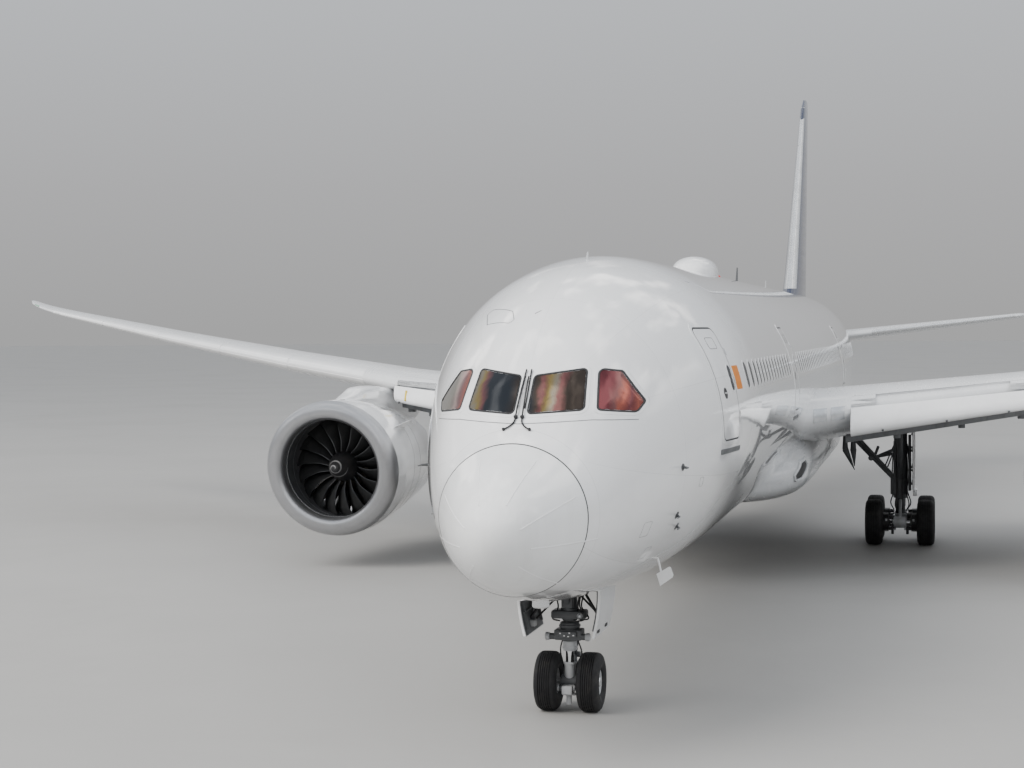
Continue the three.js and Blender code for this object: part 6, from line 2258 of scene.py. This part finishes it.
def make_probes():
    """Air data probes that stand off the nose and point ahead, and a vane behind them."""
    parts = []
    for station, z, stand in PROBES:
        foot, head = side_skin(station, z, -0.01), side_skin(station - 0.03, z, stand)
        parts.append(bar(foot, head, 0.026, 0.018, 14))
        parts.append(bar(head + at(0, LENGTH / 2 + 0.03, 0), head + at(0, LENGTH / 2 - 0.20, 0),
                         0.016, 0.009, 12))
        parts.append(plate(rectangle(station, z, 0.12, 0.12, 0.055, 5, 0.1), side_skin,
                           0.006, inner=(0.5,)))
    dress_both(parts, gear_dark, "air_data_probes")


def blade_antenna(x, station, foot, rise, chord, half=0.02, sweep=0.35):
    """A swept blade, upright where its rise is positive and hanging where it is negative."""
    section = ((-0.5, 0.0), (-0.2, 1.0), (0.2, 0.8), (0.5, 0.0), (0.2, -0.8), (-0.2, -1.0))
    rings = []
    for t, share in ((0, 1.15), (0.1, 1.0), (0.8, 0.62), (1.0, 0.5)):
        rings.append([at(x + across * half * share, station + along * chord * share + sweep * abs(rise) * t,
                         foot + rise * t) for along, across in section])
    return loft(rings)


TOP_BLADES = ((7.3, 0.13, 0.26), (40.5, 0.32, 0.36))
KEEL_BLADES = ((7.9, 0.28, 0.32), (11.2, 0.30, 0.34), (15.9, 0.34, 0.40), (43.6, 0.30, 0.34))
DOME = Dims(station=21.6, length=2.9, half=0.56, height=0.46)
BEACONS = ((26.5, 1), (28.2, -1))


def crown_height(station):
    above, _, _, waist = hull_section(station)
    return waist + above


def keel_height(station):
    _, below, _, waist = hull_section(station)
    return waist - below


def make_antennas():
    """Blade antennas above and below, the roof's data dome and the two red beacons."""
    blades = [blade_antenna(0, station, crown_height(station) - 0.03, rise + 0.03, chord)
              for station, rise, chord in TOP_BLADES]
    blades += [blade_antenna(0.0, station, keel_height(station) + 0.03, -rise - 0.03, chord)
               for station, rise, chord in KEEL_BLADES]
    dress(blades, white_paint, "blade_antennas")
    tall = blade_antenna(0, 31.3, crown_height(31.3) - 0.03, 0.52, 0.6, 0.03)
    dress(tall, gear_dark, "tall_blade_antenna")
    rings = []
    for i in range(25):
        t = i / 24
        station = DOME.station + (t - 0.45) * DOME.length
        swell = max(1 - abs(2 * t - 1) ** 2.6, 0.0) ** 0.5
        foot, rise = crown_height(station) - 0.10, (DOME.height + 0.10) * max(swell, 0.05)
        rings.append([at(DOME.half * (0.04 + 0.96 * swell) * cos(a), station, foot + rise * sin(a) ** 0.6)
                      for a in [pi * k / 20 for k in range(21)]])
    dress(loft(rings), white_paint, "roof_dome", sharp=50)
    beacons = []
    for station, hand in BEACONS:
        height = crown_height(station) if hand > 0 else BELLY_LINES[1](station)
        beacons.append(spun(((0, -0.05), (0.10, -0.05), (0.10, 0.02), (0.085, 0.08),
                             (0.05, 0.12), (0, 0.13)),
                            at(0, station, height), (0, 0, hand), 24))
    dress(beacons, red_glass, "beacons")


# Doors drawn on the body: station, height, width, tall; the hold doors are on the starboard side
HOLD_DOORS = ((14.85, 3.62, 2.70, 1.70), (43.3, 3.62, 2.70, 1.70))
BULK_DOOR = (47.6, 3.66, 1.10, 1.15)


def make_hold_doors():
    gaps = []
    plates = []
    for station, z, width, tall in HOLD_DOORS:
        outline = rectangle(station, z, width, tall, 0.14, 5, 0.2)
        gaps.append(band(outline, grown(outline, -0.02), side_skin, 0.0015))
        for i in range(7):
            place = station - width / 2 + (i + 0.5) * width / 7
            hinge = rectangle(place, z + tall / 2 + 0.04, 0.22, 0.07, 0.02, 3, 0.1)
            plates.append(plate(hinge, side_skin, 0.012, inner=(0.5,)))
        for i in range(4):
            place = station - width / 2 + (i + 0.5) * width / 4
            latch = rectangle(place, z - tall / 2 + 0.14, 0.16, 0.09, 0.02, 3, 0.1)
            plates.append(plate(latch, side_skin, 0.006, inner=(0.5,)))
    for name, made, finish in (("hold_door_gaps", gaps, seal_black),
                               ("hold_door_fittings", plates, edge_metal)):
        port = join(made)
        dress(duplicate(port, MIRROR), finish, name)
        bpy.data.objects.remove(port)
    station, z, width, tall = BULK_DOOR
    outline = rectangle(station, z, width, tall, 0.12, 5, 0.2)
    dress(band(outline, grown(outline, -0.02), side_skin, 0.0015), seal_black, "bulk_door_gap")


def make_wing_lights():
    """Lamps in the wing roots' noses, coloured position lights near the tips and the wicks behind them."""
    lamps = [plate(rectangle(span, 0.004, 0.34, 0.016, 0.007, 4, 0.05), wing_nose_skin, 0.008, inner=(0.5,))
             for span in (3.15, 3.58)]
    dress_both(lamps, lamp_glass, "landing_lamps")
    tip = plate(rectangle(28.9, 0.03, 0.5, 0.05, 0.02, 4, 0.1), wing_nose_skin, 0.010, inner=(0.5,))
    other = duplicate(tip, MIRROR)
    dress(tip, red_glass, "position_lamp_left")
    dress(other, green_glass, "position_lamp_right")
    for name, body, spans in (("tip_wicks", AIRFRAME, (26.8, 27.6, 28.4, 29.1)),
                              ("aileron_wicks", "aileron_surface_", (22.2, 23.4, 24.6, 25.8))):
        wicks = []
        for span in spans:
            station, z, _ = wing_point(wing_row(span), 1.0)
            wicks.append(bar(at(span, station - 0.06, z), at(span + 0.03, station + 0.20, z),
                             0.009, 0.006, 8))
        dress_both(wicks, hose_black, name, body)


TAIL_GREY_START = 60.9


def make_tail_end():
    """The pale end of the tail cone and the pipe of the small turbine within it."""
    rings = []
    stations = [mix(TAIL_GREY_START, TAIL_END - 0.02, i / 10) for i in range(11)]
    for station in stations:
        rings.append([hull_point(station, a, 0.004) for a in angles(64)])
    for station in reversed(stations):
        rings.append([hull_point(station, a, -0.01) for a in angles(64)])
    dress(loft([*rings, rings[0]], cap=False), belly_grey, "tail_cone_end", sharp=35)
    _, _, _, waist = hull_section(TAIL_END)
    profile = ((0, -0.5), (0.19, -0.5), (0.19, -0.02), (0.20, 0.03), (0.225, 0.03),
               (0.235, -0.02), (0.235, -0.6), (0, -0.6))
    pipe = spun(profile, at(0, TAIL_END, waist), (0, 1, 0), 48)
    dress(pipe, hot_metal, "tail_exhaust")
    # A black disc inside the pipe: painted shade of its inside.
    dark = spun(((0, 0), (0.185, 0), (0.185, 0.015), (0, 0.015)),
                at(0, TAIL_END - 0.02, waist), (0, 1, 0), 40)
    dress(dark, seal_black, "tail_exhaust_inside")


VALVES = ((0.95, 17.2), (-0.95, 46.4))
DRAIN_MASTS = (13.0, 48.6)
SERVICE_DOOR = ((1.560, 2.440), (1.777, 2.567), (1.800, 2.555), (1.846, 2.430),
                (1.835, 2.390), (1.622, 2.238))
SERVICE_DOOR_FACES = (5.200, 5.225)
# Blades that hang under the wing: the x and the foot of each, and what all of them share
HANGING_BLADES = ((3.34, 2.25), (3.58, 2.36))
HANGING_STATION = 30.6
HANGING_TIP_X = 3.62
HANGING_HEAD = 2.86
HANGING_ROOT = 3.70


def make_keel_fittings():
    """Outflow valves, drain masts, a hanging service door and the small blades by the main gear."""
    # The valves are flat dark plates: painted shade of their openings.
    dark = []
    for x, station in VALVES:
        dark.append(plate(rectangle(x, station, 0.36, 0.5, 0.06, 4, 0.15), keel_skin, 0.003, inner=(0.5,)))
    dress(dark, bay_dark, "outflow_valves", slot="fan_metal")
    masts = [blade_antenna(0.35, station, keel_height(station) + 0.06, -0.30, 0.16, 0.025, 0.6)
             for station in DRAIN_MASTS]
    masts.append(loft([[at(x, station, z) for x, z in SERVICE_DOOR] for station in SERVICE_DOOR_FACES]))
    masts.append(bar(at(1.55, 5.22, 2.84), at(1.64, 5.22, 2.46), 0.018))
    dress(masts, white_paint, "drain_masts")
    blades = []
    for x, foot in HANGING_BLADES:
        blades.append(bar(at(x, HANGING_STATION, HANGING_ROOT), at(x, HANGING_STATION, HANGING_HEAD),
                          0.04, 0.09))
        blades.append(bar(at(x, HANGING_STATION, HANGING_HEAD + 0.02),
                          at(HANGING_TIP_X, HANGING_STATION, foot), 0.10, 0.012))
    dress_both(blades, gear_dark, "gear_bay_blades")


make_wipers()
make_nose_lines()
make_probes()
make_antennas()
make_hold_doors()
make_wing_lights()
make_tail_end()
make_keel_fittings()


# Camera, floor and light


def make_camera():
    data = bpy.data.cameras.new("camera")
    data.lens = LENS_MM
    data.sensor_width = SENSOR_MM
    data.clip_start = 0.1
    data.clip_end = 2000.0
    camera = bpy.data.objects.new("camera", data)
    bpy.context.scene.collection.objects.link(camera)
    forward = Vector((-sin(CAMERA_YAW) * cos(CAMERA_DIP), cos(CAMERA_YAW) * cos(CAMERA_DIP),
                      -sin(CAMERA_DIP)))
    level = Vector((cos(CAMERA_YAW), sin(CAMERA_YAW), 0))
    upright = level.cross(forward)
    right = cos(CAMERA_ROLL) * level + sin(CAMERA_ROLL) * upright
    up = -sin(CAMERA_ROLL) * level + cos(CAMERA_ROLL) * upright
    turn = Matrix((right, up, -forward)).transposed().to_4x4()
    camera.matrix_world = Matrix.Translation(CAMERA_PLACE) @ turn
    bpy.context.scene.camera = camera


FLOOR_HALF = 420.0


def make_floor():
    """A plain pale floor out to the horizon."""
    bpy.ops.object.select_all(action="DESELECT")
    bpy.ops.mesh.primitive_plane_add(size=2 * FLOOR_HALF)
    floor = bpy.context.object
    floor.name = "floor"
    finish = coated("floor_pale", (0.33, 0.325, 0.315), (0.28, 0.275, 0.265), 0.3,
                    (0.2, 0.2, 0.2), (0.6, 0.8), (3.0, 0.4, 0.002))
    paint(floor, finish)


def add_area_light(name, place, target, size, power, colour):
    data = bpy.data.lights.new(name, "AREA")
    data.shape = "RECTANGLE"
    data.size, data.size_y = size
    data.energy = power
    data.color = colour
    light = bpy.data.objects.new(name, data)
    bpy.context.scene.collection.objects.link(light)
    light.location = place
    light.rotation_euler = (target - place).to_track_quat("-Z", "Y").to_euler()
    light.visible_glossy = False


def make_light():
    """A bright, softly clouded sky and two broad soft lights."""
    world = bpy.data.worlds.new("studio_sky")
    world.use_nodes = True
    bpy.context.scene.world = world
    tree = world.node_tree
    direction = add_node(tree, "TexCoord").outputs["Generated"]
    _, _, rise = split_place(tree, direction)
    height = add_node(tree, "MapRange", {"Value": rise, "From Min": 0.0, "From Max": 0.8})
    ramp = add_node(tree, "ValToRGB", {"Fac": height.outputs[0]})
    ramp.color_ramp.elements[0].color = rgb(0.44, 0.44, 0.44)
    ramp.color_ramp.elements[1].color = rgb(0.80, 0.86, 0.94)
    ramp.color_ramp.elements.new(0.10).color = rgb(0.52, 0.52, 0.53)
    ramp.color_ramp.elements.new(0.22).color = rgb(0.64, 0.66, 0.69)
    cloud = add_node(tree, "TexNoise", {"Vector": direction, "Scale": 5.5, "Detail": 7.0})
    soft = add_node(tree, "MapRange", {
        "Value": cloud.outputs[0], "From Min": 0.49, "From Max": 0.66}, interpolation_type="SMOOTHSTEP")
    above = add_node(tree, "MapRange", {"Value": rise, "From Min": 0.22, "From Max": 0.42})
    mask = math_node(tree, "MULTIPLY", soft.outputs[0], above.outputs[0])
    sky = blend_colours(tree, mask, ramp.outputs[0], rgb(2.6, 2.55, 2.5))
    background = tree.nodes["Background"]
    tree.links.new(sky, background.inputs["Color"])
    background.inputs["Strength"].default_value = 1.0
    middle = at(0, LENGTH / 2, 3.0)
    add_area_light("sky_key", at(-70, -60, 90), middle, (40, 40), 60000, (1.0, 0.97, 0.93))
    add_area_light("sky_fill", at(70, 10, 60), middle, (60, 60), 9000, (0.93, 0.96, 1.0))


make_camera()
make_floor()
make_light()
